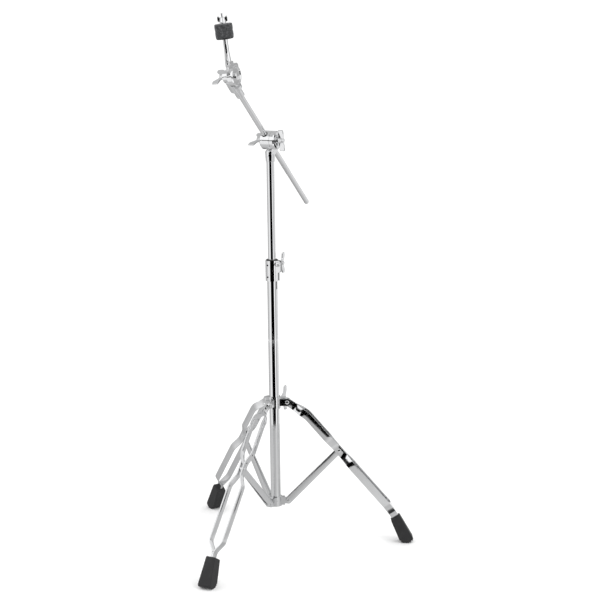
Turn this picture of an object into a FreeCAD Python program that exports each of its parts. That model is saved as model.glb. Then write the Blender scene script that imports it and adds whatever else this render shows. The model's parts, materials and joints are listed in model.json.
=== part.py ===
"""Cymbal boom stand: folding double-strap tripod, sliding upper tube, boom arm and cymbal tilter.

Frame: the origin is on the floor, on the centre line of the base tube. +Z is up and +X points
along the right-hand leg. All sizes are millimetres.
"""
import FreeCAD, Part
import math
import os
from FreeCAD import Vector, Rotation, Placement, Matrix

# ---------------------------------------------------------------- driving dimensions
# tubes
BASE_TUBE_R = 12.7            # outer radius of the one inch base tube
BASE_TUBE_WALL = 1.5
BASE_TUBE_BOTTOM = 110.0
BASE_TUBE_TOP = 750.0
UPPER_TUBE_R = 9.525          # outer radius of the three quarter inch upper tube
UPPER_TUBE_WALL = 1.3
UPPER_TUBE_HIDDEN = 190.0     # length held inside the base tube
RUN = 0.05                    # radial clearance of a running fit
GAP = 0.3                     # gap between faces that slide past each other

# tripod linkage
LEG_ANGLES = {"right": 0.0, "back": 120.0, "front": 240.0}
LINK = 186.4                  # pivot to pivot, the same on the brace and on the upper leg
SPREAD = 45.0                 # degrees between the brace and the tube
PIVOT_R = 32.6                # both collars' pivots from the tube's centre line
LOWER_PIVOT_Z = 118.0
PIVOT_PIN_R = 3.0
RIVET_HEAD_R = 5.2
RIVET_HEAD_H = 1.8

# leg straps
STRAP_W = 19.0
STRAP_T = 3.0
UPPER_SPREAD = 15.0           # middle of a strap from the middle of its leg, above the middle pivot
LOWER_SPREAD = 18.0           # the same below it
KNEE_R = 84.0                 # the upper bend, from the tube's centre line
KNEE_Z_OFFSET = 35.6          # below the upper pivot
KNEE_BEND_R = 60.0
LOWER_SLOPE = 50.1            # degrees below level between the knee and the ankle
ANKLE_SLOPE = 59.0            # degrees below level between the ankle and the foot
ANKLE_BEND_R = 40.0
ANKLE_LENGTH = 42.0           # ankle bend to the top of the foot
FOOT_GRIP = 32.0              # length of strap inside the foot
FLARE_START = 24.0            # along the strap from the upper pivot
FLARE_END = 46.0
WAIST_FLAT = 17.0             # along the strap, either side of the middle pivot
WAIST_END = 44.0
TOE_IN_START = 4.0            # past the ankle
TOE_IN_END = 28.0

# brace
BRACE_W = 16.0
BRACE_T = 3.0                 # each of the two straps of a brace
TONGUE_HALF = 3.0             # half thickness of the lug between a brace's straps
BRACE_FLAT = 14.0             # length of the flat round the lug
BRACE_TOGETHER = 22.0         # length of the touching ends at the middle pivot

# rubber foot
FOOT_SOLE_R = 23.0
FOOT_FLAT = 0.5               # depth of the flat on the tread that meets the floor
FOOT_RISE = 44.4              # top of the foot above the middle of its sole's curve
FOOT_REACH = 27.4             # the sole's middle outside the top's middle
FOOT_TOP_W = 27.0
FOOT_INNER_SLOPE = 67.5
FOOT_OUTER_SLOPE = 61.1
FOOT_SIDE_TOP = 12.8          # half width across the leg
FOOT_SIDE_SOLE = 18.0
TREAD_STEP = 16.0             # degrees
TREAD_DEPTH = 2.8
TREAD_GROOVE = 3.0

# collars
COLLAR_WALL = 3.3
COLLAR_HEIGHT = 31.0
BRACE_COLLAR_HEIGHT = 25.0
LUG_CHEEK = 4.6
LUG_R = 9.2
COLLAR_SCREW_ANGLE = 50.0

# height clamp
CLAMP_HEIGHT = 52.0
CLAMP_WALL = 3.8
CLAMP_ANGLE = -29.0
CLAMP_SLOT = 4.0
CLAMP_EAR_T = 5.0
CLAMP_EAR_REACH = 9.5
CLAMP_EAR_H = 30.0
CLAMP_BOLT_R = 19.8            # bolt from the tube's centre line
CLAMP_BOLT_DROP = 9.0          # bolt below the top of the clamp
SLOT_BELOW_CLAMP = 22.0
BOLT_R = 3.0
CLAMP_WASHER_R = 7.0
BUSHING_LENGTH = 62.0
BUSHING_FLANGE = 1.6

# boom clutch
CLUTCH_Z = 1051.0
CLUTCH_TURN = 30.0            # the tilt axis points right and this many degrees to the front
BOOM_TILT = 47.0              # boom's lean from upright
CLUTCH_R = 23.0
HUB_LEFT = -18.5              # along the tilt axis from the tube's centre line
HUB_RIGHT = 9.2
CLUTCH_WASHER_T = 0.6
BASE_HALF_T = 11.8
BOOM_OFFSET = -5.3            # the boom's centre line along the tilt axis
SLEEVE_LENGTH = 29.5
SLEEVE_R_BOTTOM = 11.0
SLEEVE_R_TOP = 12.7
STUD_R = 4.0
BOOM_WASHER_T = 2.0
BOOM_NUT_TURN = 9.0           # degrees from upright at which the boom nut's wings rest
LOCK_WING_DROOP = 26.0        # degrees below level for the lock screw's front wing

# boom rod
BOOM_R = 6.35
BOOM_LENGTH = 470.0
BOOM_TAIL = 267.0             # length below the clutch
LINER_WALL = 1.3
BOOM_TAIL_R = 6.0             # knurled end that a counterweight can clamp on
KNURL_LENGTH = 130.0

# cymbal tilter
TILTER_DISTANCE = 246.0       # clutch centre to tilter pivot along the boom
TILTER_ROLL = 6.5             # turn of the boom about its own line
CYMBAL_LEAN = 41.7            # between the boom and the cymbal rod
TILTER_WING_DROOP = 38.0      # degrees below level for the tilter nut's front wing
TILTER_BASE_R = 14.8
TILTER_FLANGE_R = 20.0
TILTER_FLANGE_T = 3.0
TILTER_BASE_LEFT = -10.0
TILTER_BASE_RIGHT = 7.2
TILTER_HEAD_R = 25.0
TILTER_HEAD_T = 14.2
HEAD_SHOULDER = 28.5          # flat top of the head above its pivot
HEAD_CHEEK_T = 9.0            # thickness of the part that carries the shoulder
HEAD_HALF = TILTER_HEAD_R - 0.6   # half width of the shoulder
HEAD_CORNER = 5.0             # corners cut off the shoulder
TILTER_SLEEVE_R = 10.3
NECK_R = 15.5                 # wide part between the disc and the sleeve
NECK_END = 50.0
TILTER_SLEEVE_END = 73.0      # from the pivot down the boom
POST_OFFSET = 4.0             # cymbal rod's line along the tilter axis
POST_START = 22.7
POST_BASE_R = 7.6
POST_TOP_R = 5.6
POST_TOP = 86.5
CYMBAL_ROD_R = 3.0
CYMBAL_ROD_TOP = 147.5
ROD_TIP_R = 2.5               # plain lead-in above the thread
ROD_TIP_LENGTH = 8.0
CUP_R = 20.8
CUP_T = 4.0
FELT_R = 21.5
FELT_T = 16.2
SLEEVE_TUBE_R = 5.0           # plastic sleeve that the cymbal hangs on

PARTS = "parts"
X = Vector(1, 0, 0)
Y = Vector(0, 1, 0)
Z = Vector(0, 0, 1)
ORIGIN = Vector(0, 0, 0)

# ---------------------------------------------------------------- helpers


def rad(degrees):
    return math.radians(degrees)


def cylinder(start, axis, radius, length):
    return Part.makeCylinder(radius, length, start, axis)


def pipe(start, axis, outer, inner, length):
    return cylinder(start, axis, outer, length).cut(cylinder(start, axis, inner, length))


def box(x0, x1, y0, y1, z0, z1):
    return Part.makeBox(x1 - x0, y1 - y0, z1 - z0, Vector(x0, y0, z0))


def fuse(*shapes):
    whole = shapes[0].multiFuse(list(shapes[1:])) if len(shapes) > 1 else shapes[0]
    return whole.removeSplitter()


def prism(points, origin, along, up, thick):
    """A polygon in the plane of along and up, given thickness thick evenly about that plane."""
    across = along.cross(up)
    start = origin - across * (thick / 2.0)
    corners = [start + along * a + up * b for a, b in points]
    face = Part.Face(Part.makePolygon(corners + [corners[0]]))
    return face.extrude(across * thick)


def turned(points, origin, axis, side):
    """A profile of (radius, height) points turned about an axis."""
    corners = [origin + side * r + axis * h for r, h in points]
    face = Part.Face(Part.makePolygon(corners + [corners[0]]))
    return face.revolve(origin, axis, 360)


def placed(shape, origin, x_dir, z_dir):
    """Carries a shape from its own frame to one with the given X and Z directions."""
    y_dir = z_dir.cross(x_dir)
    m = Matrix(x_dir.x, y_dir.x, z_dir.x, origin.x,
               x_dir.y, y_dir.y, z_dir.y, origin.y,
               x_dir.z, y_dir.z, z_dir.z, origin.z,
               0, 0, 0, 1)
    copy = shape.copy()
    copy.Placement = Placement(m).multiply(copy.Placement)
    return copy


def turn_about(v, axis, degrees):
    return Rotation(axis, degrees).multVec(v)


def about_z(shape, degrees):
    copy = shape.copy()
    copy.rotate(ORIGIN, Z, degrees)
    return copy


def rounded(shape, radius, wanted):
    """Fillets the edges that the test picks."""
    edges = [e for e in shape.Edges if wanted(e)]
    return shape.makeFillet(radius, edges) if edges else shape


def along_axis(edge, axis):
    ends = [v.Point for v in edge.Vertexes]
    return len(ends) == 2 and abs(abs((ends[1] - ends[0]).normalize().dot(axis)) - 1) < 1e-6


def export(name, shape):
    if not shape.isValid():
        raise ValueError(name + " is not a valid solid")
    shape.exportStep(os.path.join(PARTS, name + ".step"))


# ---------------------------------------------------------------- wing nuts and levers
WING_T = 3.4


def wing(reach, lift, width, hub_r, hub_h):
    """One blade of a wing nut in the XZ plane, reaching out along +X and swept up along Z."""
    outline = [(0.0, 0.5), (hub_r, 0.5 + lift * 0.35), (reach * 0.45, lift * 0.85), (reach, lift),
               (reach, lift + width), (reach * 0.66, lift + width), (hub_r * 0.7, hub_h), (0.0, hub_h)]
    blade = prism(outline, ORIGIN, X, Z, WING_T)
    return rounded(blade, min(3.5, width * 0.3),
                   lambda e: along_axis(e, Y) and e.Vertexes[0].X > reach * 0.9)


def wing_nut(bore, hub_r, hub_h, reach, lift, width):
    """Two blades on a tapered hub; Z is the thread's axis and the seat is at z = 0."""
    hub = turned([(0, 0), (hub_r, 0), (hub_r, hub_h * 0.35), (hub_r * 0.78, hub_h), (0, hub_h)],
                 ORIGIN, Z, X)
    blade = wing(reach, lift, width, hub_r, hub_h)
    other = about_z(blade, 180)
    nut = fuse(hub, blade, other)
    return nut.cut(cylinder(Vector(0, 0, -1), Z, bore, hub_h * 4))


def wing_screw(shank_r, shank, *sizes):
    """A wing nut's head made solid on a screw that points along -Z."""
    return fuse(wing_nut(0.5, *sizes), cylinder(ORIGIN - Z * shank, Z, shank_r, shank + sizes[1]))


def rivet(middle, axis, half_length, shank_r=PIVOT_PIN_R):
    """A pin with a domed head at each end."""
    across = X if abs(axis.dot(X)) < 0.9 else Y
    side = axis.cross(across).normalize()
    h, r, c = RIVET_HEAD_H, RIVET_HEAD_R, half_length
    half = [(0, 0), (shank_r, 0), (shank_r, c), (r, c), (r * 0.92, c + h * 0.45),
            (r * 0.62, c + h * 0.85), (0, c + h)]
    return fuse(turned(half, middle, axis, side),
                turned(half, middle, axis * -1, side))


# ---------------------------------------------------------------- tripod geometry, leg at 0 degrees
LOWER_PIVOT = Vector(PIVOT_R, 0, LOWER_PIVOT_Z)
WAIST = LOWER_PIVOT + Vector(LINK * math.sin(rad(SPREAD)), 0, LINK * math.cos(rad(SPREAD)))
UPPER_PIVOT = Vector(PIVOT_R, 0, 2 * WAIST.z - LOWER_PIVOT.z)
KNEE = Vector(KNEE_R, 0, UPPER_PIVOT.z - KNEE_Z_OFFSET)
SOLE = Vector(0, 0, FOOT_SOLE_R - FOOT_FLAT)
FOOT_TOP_Z = SOLE.z + FOOT_RISE
LOWER_DIR = Vector(math.cos(rad(LOWER_SLOPE)), 0, -math.sin(rad(LOWER_SLOPE)))
ANKLE_DIR = Vector(math.cos(rad(ANKLE_SLOPE)), 0, -math.sin(rad(ANKLE_SLOPE)))
ANKLE_Z = FOOT_TOP_Z + ANKLE_LENGTH * math.sin(rad(ANKLE_SLOPE))
ANKLE = WAIST + LOWER_DIR * ((WAIST.z - ANKLE_Z) / math.sin(rad(LOWER_SLOPE)))
FOOT_TOP = ANKLE + ANKLE_DIR * ANKLE_LENGTH
STRAP_END = FOOT_TOP + ANKLE_DIR * FOOT_GRIP
SOLE.x = FOOT_TOP.x + FOOT_REACH

TOGETHER = STRAP_T / 2.0                       # strap middles where two straps touch
AT_WAIST = BRACE_T + GAP + STRAP_T / 2.0       # leg strap middles either side of the brace
AT_LUG = TONGUE_HALF + GAP + BRACE_T / 2.0     # brace strap middles either side of the lug


def bend(points, radii):
    """A wire through the points with an arc of the given radius at each inner point."""
    edges = []
    start = points[0]
    for i in range(1, len(points) - 1):
        before = (points[i - 1] - points[i]).normalize()
        after = (points[i + 1] - points[i]).normalize()
        half = math.acos(max(-1, min(1, before.dot(after)))) / 2.0
        reach = radii[i - 1] / math.tan(half)
        mid_dir = (before + after).normalize()
        centre = points[i] + mid_dir * (radii[i - 1] / math.sin(half))
        a = points[i] + before * reach
        b = points[i] + after * reach
        edges.append(Part.makeLine(start, a))
        edges.append(Part.Arc(a, centre - mid_dir * radii[i - 1], b).toShape())
        start = b
    edges.append(Part.makeLine(start, points[-1]))
    return edges


def offset_points(points, distance):
    """The polyline moved sideways in the XZ plane, with mitred corners."""
    moved = []
    for i, p in enumerate(points):
        dirs = []
        if i > 0:
            dirs.append((p - points[i - 1]).normalize())
        if i < len(points) - 1:
            dirs.append((points[i + 1] - p).normalize())
        normals = [Vector(-d.z, 0, d.x) for d in dirs]
        if len(normals) == 1:
            moved.append(p + normals[0] * distance)
        else:
            s = normals[0] + normals[1]
            moved.append(p + s * (distance / (1 + normals[0].dot(normals[1]))))
    return moved


def strap_band(points, radii, width, thick):
    """The side outline of a bent flat bar with round ends, given depth thick across the leg."""
    half = width / 2.0
    upper = bend(offset_points(points, half), [r + half for r in radii])
    lower = bend(offset_points(points, -half), [r - half for r in radii])
    first = (points[1] - points[0]).normalize()
    last = (points[-1] - points[-2]).normalize()
    a0, a1 = upper[0].Vertexes[0].Point, lower[0].Vertexes[0].Point
    b0, b1 = upper[-1].Vertexes[-1].Point, lower[-1].Vertexes[-1].Point
    caps = [Part.Arc(a0, points[0] - first * half, a1).toShape(),
            Part.Arc(b0, points[-1] + last * half, b1).toShape()]
    wire = Part.Wire(Part.__sortEdges__(upper + lower + caps))
    face = Part.Face(wire)
    face.translate(Vector(0, -thick / 2.0, 0))
    return face.extrude(Vector(0, thick, 0))


def ribbon(track, origin, along, thick, depth):
    """A bent strip: track is (distance along, sideways) for the strip's middle line."""
    def edge_line(side):
        line = []
        for i, (a, s) in enumerate(track):
            dirs = []
            if i > 0:
                dirs.append(math.atan2(s - track[i - 1][1], a - track[i - 1][0]))
            if i < len(track) - 1:
                dirs.append(math.atan2(track[i + 1][1] - s, track[i + 1][0] - a))
            mid = sum(dirs) / len(dirs)
            k = side * thick / 2.0 / math.cos((dirs[-1] - dirs[0]) / 2.0)
            line.append((a - k * math.sin(mid), s + k * math.cos(mid)))
        return line
    outline = edge_line(1) + edge_line(-1)[::-1]
    return prism(outline, origin, along, Y, depth)


def leg_strap(side):
    """One strap of a leg; side is +1 or -1 across the leg."""
    path = [UPPER_PIVOT, KNEE, ANKLE, STRAP_END]
    band = strap_band(path, [KNEE_BEND_R, ANKLE_BEND_R], STRAP_W, 8 * LOWER_SPREAD)
    depth = 6 * STRAP_W
    top_dir = (KNEE - UPPER_PIVOT).normalize()
    beyond = (KNEE - UPPER_PIVOT).Length + STRAP_W
    top = ribbon([(-2 * STRAP_W, TOGETHER * side), (FLARE_START, TOGETHER * side),
                  (FLARE_END, UPPER_SPREAD * side), (beyond, UPPER_SPREAD * side)],
                 UPPER_PIVOT, top_dir, STRAP_T, depth)
    up = (WAIST - KNEE).Length + STRAP_W
    down = (ANKLE - WAIST).Length + STRAP_W
    waist = ribbon([(-up, UPPER_SPREAD * side), (-WAIST_END, UPPER_SPREAD * side),
                    (-WAIST_FLAT, AT_WAIST * side), (WAIST_FLAT, AT_WAIST * side),
                    (WAIST_END, LOWER_SPREAD * side), (down, LOWER_SPREAD * side)],
                   WAIST, LOWER_DIR, STRAP_T, depth)
    end = ribbon([(-STRAP_W, LOWER_SPREAD * side), (TOE_IN_START, LOWER_SPREAD * side),
                  (TOE_IN_END, TOGETHER * side),
                  (ANKLE_LENGTH + FOOT_GRIP + STRAP_W, TOGETHER * side)],
                 ANKLE, ANKLE_DIR, STRAP_T, depth)
    top_zone = side_zone(UPPER_PIVOT, KNEE, None)
    mid_zone = side_zone(KNEE, ANKLE, UPPER_PIVOT)
    end_zone = side_zone(ANKLE, None, KNEE)
    strap = fuse(top.common(top_zone), waist.common(mid_zone), end.common(end_zone)).common(band)
    holes = [cylinder(UPPER_PIVOT - Y * 50, Y, PIVOT_PIN_R + RUN, 100),
             cylinder(WAIST - Y * 50, Y, PIVOT_PIN_R, 100),
             cylinder(foot_pin_place() - Y * 50, Y, PIVOT_PIN_R, 100)]
    for hole in holes:
        strap = strap.cut(hole)
    return strap


def side_zone(start, end, before):
    """The slab of space that belongs to one straight run of the strap, split on the bends."""
    path = [UPPER_PIVOT, KNEE, ANKLE, STRAP_END]
    i = [k for k, p in enumerate(path) if (p - start).Length < 1e-9][0]
    along = (path[i + 1] - path[i]).normalize()
    normal = Vector(-along.z, 0, along.x)
    reach = 6 * STRAP_W

    def split(k):
        into = (path[k] - path[k - 1]).normalize()
        out = (path[k + 1] - path[k]).normalize()
        n = (Vector(-into.z, 0, into.x) + Vector(-out.z, 0, out.x)).normalize()
        return path[k] + n * reach, path[k] - n * reach

    if before is None:
        a0, a1 = start - along * reach + normal * reach, start - along * reach - normal * reach
    else:
        a0, a1 = split(i)
    if end is None:
        far = path[i + 1] + along * reach
        b0, b1 = far + normal * reach, far - normal * reach
    else:
        b0, b1 = split(i + 1)
    corners = [a0, b0, b1, a1, a0]
    face = Part.Face(Part.makePolygon(corners))
    face.translate(Vector(0, -reach, 0))
    return face.extrude(Vector(0, 2 * reach, 0))


def foot_pin_place():
    return FOOT_TOP + ANKLE_DIR * (FOOT_GRIP * 0.5)


# ---------------------------------------------------------------- foot


def foot_body():
    """Tapered rubber block with a curved, grooved sole, before the straps' slot is cut."""
    lean = Vector(FOOT_REACH, 0, -FOOT_RISE).normalize()
    across = Vector(-lean.z, 0, lean.x)
    inner_top = FOOT_TOP - across * (FOOT_TOP_W / 2.0)
    outer_top = FOOT_TOP + across * (FOOT_TOP_W / 2.0)
    drop = FOOT_RISE + 2 * FOOT_SOLE_R
    inner = Vector(math.cos(rad(FOOT_INNER_SLOPE)), 0, -math.sin(rad(FOOT_INNER_SLOPE))) * drop
    outer = Vector(math.cos(rad(FOOT_OUTER_SLOPE)), 0, -math.sin(rad(FOOT_OUTER_SLOPE))) * drop
    corners = [inner_top, outer_top, outer_top + outer, inner_top + inner, inner_top]
    side = Part.Face(Part.makePolygon(corners))
    side.translate(Vector(0, -50, 0))
    block = side.extrude(Vector(0, 100, 0))
    wheel = cylinder(SOLE - Y * 50, Y, FOOT_SOLE_R, 100)
    above = box(SOLE.x - 150, SOLE.x + 150, -50, 50, SOLE.z, FOOT_TOP.z + 100)
    block = block.common(fuse(wheel, above))
    block = block.common(box(0, SOLE.x + 150, -50, 50, 0, FOOT_TOP.z + 100))
    length = (SOLE - FOOT_TOP).Length + FOOT_SOLE_R
    taper = [(-10, -FOOT_SIDE_TOP), (0, -FOOT_SIDE_TOP), (length, -FOOT_SIDE_SOLE),
             (length, FOOT_SIDE_SOLE), (0, FOOT_SIDE_TOP), (-10, FOOT_SIDE_TOP)]
    block = block.common(prism(taper, FOOT_TOP, lean, Y, 400))
    for k in (-2.5, -1.5, -0.5, 0.5, 1.5, 2.5, 3.5):
        groove = box(-TREAD_GROOVE / 2, TREAD_GROOVE / 2, -50, 50,
                     -FOOT_SOLE_R - 1, -FOOT_SOLE_R + TREAD_DEPTH)
        groove.rotate(ORIGIN, Y, -k * TREAD_STEP)
        groove.translate(SOLE)
        block = block.cut(groove)
    return block


# ---------------------------------------------------------------- tripod parts


def make_legs():
    straps = {"strap_left": leg_strap(1), "strap_right": leg_strap(-1)}
    pin = foot_pin_place()
    foot = foot_body()
    for s in straps.values():
        foot = foot.cut(s)
    pin_half = 2 * STRAP_T + 2
    foot_rivet = cylinder(pin - Y * pin_half, Y, PIVOT_PIN_R, 2 * pin_half)
    foot = foot.cut(foot_rivet)
    waist_rivet = rivet(WAIST, Y, AT_WAIST + STRAP_T / 2)
    braces = {"strap_left": brace_strap(1), "strap_right": brace_strap(-1)}
    for name, angle in LEG_ANGLES.items():
        for strap_name, s in straps.items():
            export("%s_leg_%s" % (name, strap_name), about_z(s, angle))
        export(name + "_foot", about_z(foot, angle))
        export(name + "_foot_pin", about_z(foot_rivet, angle))
        export(name + "_waist_rivet", about_z(waist_rivet, angle))
        for strap_name, s in braces.items():
            export("%s_brace_%s" % (name, strap_name), about_z(s, angle))


def brace_strap(side):
    """One strap of a brace: apart round the collar's lug, touching its partner at the middle pivot."""
    along = (WAIST - LOWER_PIVOT).normalize()
    up = Vector(-along.z, 0, along.x)
    bar = prism([(0, -BRACE_W / 2), (LINK, -BRACE_W / 2), (LINK, BRACE_W / 2), (0, BRACE_W / 2)],
                LOWER_PIVOT, along, up, 8 * AT_LUG)
    ends = [cylinder(p - Y * (4 * AT_LUG), Y, BRACE_W / 2, 8 * AT_LUG) for p in (LOWER_PIVOT, WAIST)]
    path = ribbon([(-BRACE_W, AT_LUG * side), (BRACE_FLAT, AT_LUG * side),
                   (LINK - BRACE_TOGETHER, BRACE_T / 2 * side), (LINK + BRACE_W, BRACE_T / 2 * side)],
                  LOWER_PIVOT, along, BRACE_T, 2 * BRACE_W)
    strap = fuse(bar, *ends).common(path)
    for p in (LOWER_PIVOT, WAIST):
        strap = strap.cut(cylinder(p - Y * 50, Y, PIVOT_PIN_R + RUN, 100))
    return strap


def collar(pivot_z, height, lug, bore):
    """A ring with the same lug at each of the three legs."""
    outer = BASE_TUBE_R + COLLAR_WALL
    ring = cylinder(Vector(0, 0, pivot_z - height / 2), Z, outer, height)
    body = fuse(ring, *[about_z(lug, a) for a in LEG_ANGLES.values()])
    hole = cylinder(Vector(PIVOT_R, -25, pivot_z), Y, PIVOT_PIN_R, 50)
    for a in LEG_ANGLES.values():
        body = body.cut(about_z(hole, a))
    return body.cut(cylinder(Vector(0, 0, pivot_z - height), Z, bore, 2 * height))


def lug_plate(pivot_z, half, nose_r):
    """A plate from the ring out to a round nose about the pivot."""
    body = box(BASE_TUBE_R + 1, PIVOT_R, -half, half, pivot_z - nose_r, pivot_z + nose_r)
    nose = cylinder(Vector(PIVOT_R, -half, pivot_z), Y, nose_r, 2 * half)
    return fuse(body, nose)


def clevis(pivot_z, slot_half):
    """Two cheeks either side of a slot that is open above, below and outwards."""
    slot = box(PIVOT_R - STRAP_W / 2 - 1.0, PIVOT_R + 60, -slot_half, slot_half,
               pivot_z - 60, pivot_z + 60)
    return lug_plate(pivot_z, slot_half + LUG_CHEEK, LUG_R).cut(slot)


def tongue(pivot_z):
    """A thick root and a thin tongue that goes between the two straps of a brace."""
    root_end = PIVOT_R - BRACE_W / 2 - 1.0
    root_half = AT_LUG + BRACE_T / 2
    root = box(BASE_TUBE_R + 1, root_end, -root_half, root_half,
               pivot_z - BRACE_COLLAR_HEIGHT * 0.42, pivot_z + BRACE_COLLAR_HEIGHT * 0.42)
    return fuse(root, lug_plate(pivot_z, TONGUE_HALF, BRACE_W / 2))


def make_collars():
    upper_slot = STRAP_T + GAP
    screw_dir = Vector(math.cos(rad(COLLAR_SCREW_ANGLE)), math.sin(rad(COLLAR_SCREW_ANGLE)), 0)
    centre = Vector(0, 0, UPPER_PIVOT.z + 2.0)
    leg_collar = collar(UPPER_PIVOT.z, COLLAR_HEIGHT, clevis(UPPER_PIVOT.z, upper_slot), BASE_TUBE_R + GAP)
    boss_end = BASE_TUBE_R + COLLAR_WALL + 8
    boss = cylinder(centre, screw_dir, 7.5, boss_end)
    leg_collar = fuse(leg_collar, boss.cut(cylinder(centre - Z * 50, Z, BASE_TUBE_R + GAP, 100)))
    leg_collar = leg_collar.cut(cylinder(centre, screw_dir, STUD_R + RUN, 60))
    export("leg_collar", leg_collar)
    pins = [about_z(rivet(UPPER_PIVOT, Y, upper_slot + LUG_CHEEK), a) for a in LEG_ANGLES.values()]
    export("leg_pivot_rivets", Part.makeCompound(pins))
    shank = boss_end + GAP - (BASE_TUBE_R + GAP)
    screw = wing_screw(STUD_R, shank, 6.5, 20.0, 32.0, 15.0, 10.0)
    export("collar_wing_screw",
           placed(screw, centre + screw_dir * (boss_end + GAP), Z, screw_dir))

    brace_collar = collar(LOWER_PIVOT.z, BRACE_COLLAR_HEIGHT, tongue(LOWER_PIVOT.z), BASE_TUBE_R)
    pin_dir = Vector(math.cos(rad(-75)), math.sin(rad(-75)), 0)
    pin_start = Vector(0, 0, LOWER_PIVOT.z)
    reach = BASE_TUBE_R + COLLAR_WALL + 0.6
    collar_pin = cylinder(pin_start - pin_dir * reach, pin_dir, 2.4, 2 * reach)
    export("brace_collar", brace_collar.cut(collar_pin))
    export("brace_collar_pin", collar_pin)
    pin_half = AT_LUG + BRACE_T / 2 + GAP
    pins = [about_z(rivet(LOWER_PIVOT, Y, pin_half), a) for a in LEG_ANGLES.values()]
    export("brace_pivot_rivets", Part.makeCompound(pins))
    return collar_pin


# ---------------------------------------------------------------- tubes and height clamp


def clamp_frame():
    """Outward and tangent directions at the clamp's split."""
    out = Vector(math.cos(rad(CLAMP_ANGLE)), math.sin(rad(CLAMP_ANGLE)), 0)
    return out, Z.cross(out)


def make_base_tube(collar_pin):
    out, tangent = clamp_frame()
    inner = BASE_TUBE_R - BASE_TUBE_WALL
    length = BASE_TUBE_TOP - BASE_TUBE_BOTTOM
    tube = pipe(Vector(0, 0, BASE_TUBE_BOTTOM), Z, BASE_TUBE_R, inner, length)
    slot_low = BASE_TUBE_TOP - CLAMP_HEIGHT - SLOT_BELOW_CLAMP
    slot = placed(box(0, BASE_TUBE_R + 5, -CLAMP_SLOT / 2, CLAMP_SLOT / 2,
                      slot_low, BASE_TUBE_TOP + 10), ORIGIN, out, Z)
    relief = cylinder(Vector(0, 0, slot_low), out, CLAMP_SLOT * 0.7, BASE_TUBE_R + 5)
    tube = tube.cut(fuse(slot, relief)).cut(collar_pin)
    rivets = clamp_rivets()
    export("base_tube", tube.cut(rivets))
    plug_low = LOWER_PIVOT.z - BRACE_COLLAR_HEIGHT / 2
    plug = fuse(cylinder(Vector(0, 0, BASE_TUBE_BOTTOM), Z, inner, 4.5),
                cylinder(Vector(0, 0, plug_low), Z, BASE_TUBE_R, BASE_TUBE_BOTTOM - plug_low))
    export("base_tube_plug", plug)
    return rivets


def clamp_rivets():
    """Two small rivets that pin the clamp to the tube, on the side away from the split."""
    side = Vector(math.cos(rad(CLAMP_ANGLE - 104)), math.sin(rad(CLAMP_ANGLE - 104)), 0)
    inner = BASE_TUBE_R - BASE_TUBE_WALL
    depth = BASE_TUBE_R + CLAMP_WALL + 0.8 - inner
    low = BASE_TUBE_TOP - CLAMP_HEIGHT
    pins = [cylinder(side * inner + Vector(0, 0, low + h), side, 2.2, depth)
            for h in (CLAMP_HEIGHT * 0.2, CLAMP_HEIGHT * 0.78)]
    return Part.makeCompound(pins)


def make_height_clamp(rivets):
    out, tangent = clamp_frame()
    low = BASE_TUBE_TOP - CLAMP_HEIGHT
    outer = BASE_TUBE_R + CLAMP_WALL
    ring = cylinder(Vector(0, 0, low), Z, outer, CLAMP_HEIGHT)
    ear_span = CLAMP_SLOT + 2 * CLAMP_EAR_T
    ear = box(BASE_TUBE_R, outer + CLAMP_EAR_REACH, -ear_span / 2, ear_span / 2,
              BASE_TUBE_TOP - CLAMP_EAR_H, BASE_TUBE_TOP)
    ear = rounded(ear, 6, lambda e: along_axis(e, Y) and e.Vertexes[0].X > outer + 1)
    rib = box(BASE_TUBE_R, outer + 2.0, -ear_span / 2, ear_span / 2, low, BASE_TUBE_TOP)
    body = fuse(ring, placed(fuse(ear, rib), ORIGIN, out, Z))
    bore = cylinder(Vector(0, 0, low - 1), Z, BASE_TUBE_R, CLAMP_HEIGHT + 2)
    split = placed(box(0, outer + CLAMP_EAR_REACH + 5, -CLAMP_SLOT / 2, CLAMP_SLOT / 2,
                       low - 1, BASE_TUBE_TOP + 1), ORIGIN, out, Z)
    bolt_at = out * CLAMP_BOLT_R + Vector(0, 0, BASE_TUBE_TOP - CLAMP_BOLT_DROP)
    half = ear_span / 2
    body = body.cut(bore).cut(split).cut(cylinder(bolt_at - tangent * 40, tangent, BOLT_R, 80))
    for side in (tangent, tangent * -1):
        body = body.cut(cylinder(bolt_at + side * half, side, CLAMP_WASHER_R + GAP, 20))
    export("height_clamp", body.cut(rivets))
    export("height_clamp_rivets", rivets)
    washer_t = 1.2
    nut_seat = half + washer_t + GAP
    nut_h = 13.0
    bolt = fuse(cylinder(bolt_at - tangent * half, tangent, BOLT_R, 2 * half + washer_t + nut_h + 3),
                turned([(0, 0), (6.2, 0), (6.2, 1.5), (4.8, 3.4), (2.6, 4.4), (0, 4.6)],
                       bolt_at - tangent * half, tangent * -1, Z))
    export("height_clamp_bolt", bolt)
    export("height_clamp_washer", pipe(bolt_at + tangent * half, tangent, CLAMP_WASHER_R, BOLT_R, washer_t))
    nut = wing_nut(BOLT_R + RUN, 6.2, nut_h, 26.0, 8.8, 11.0)
    export("height_wing_nut", placed(nut, bolt_at + tangent * nut_seat, Z, tangent))


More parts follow.
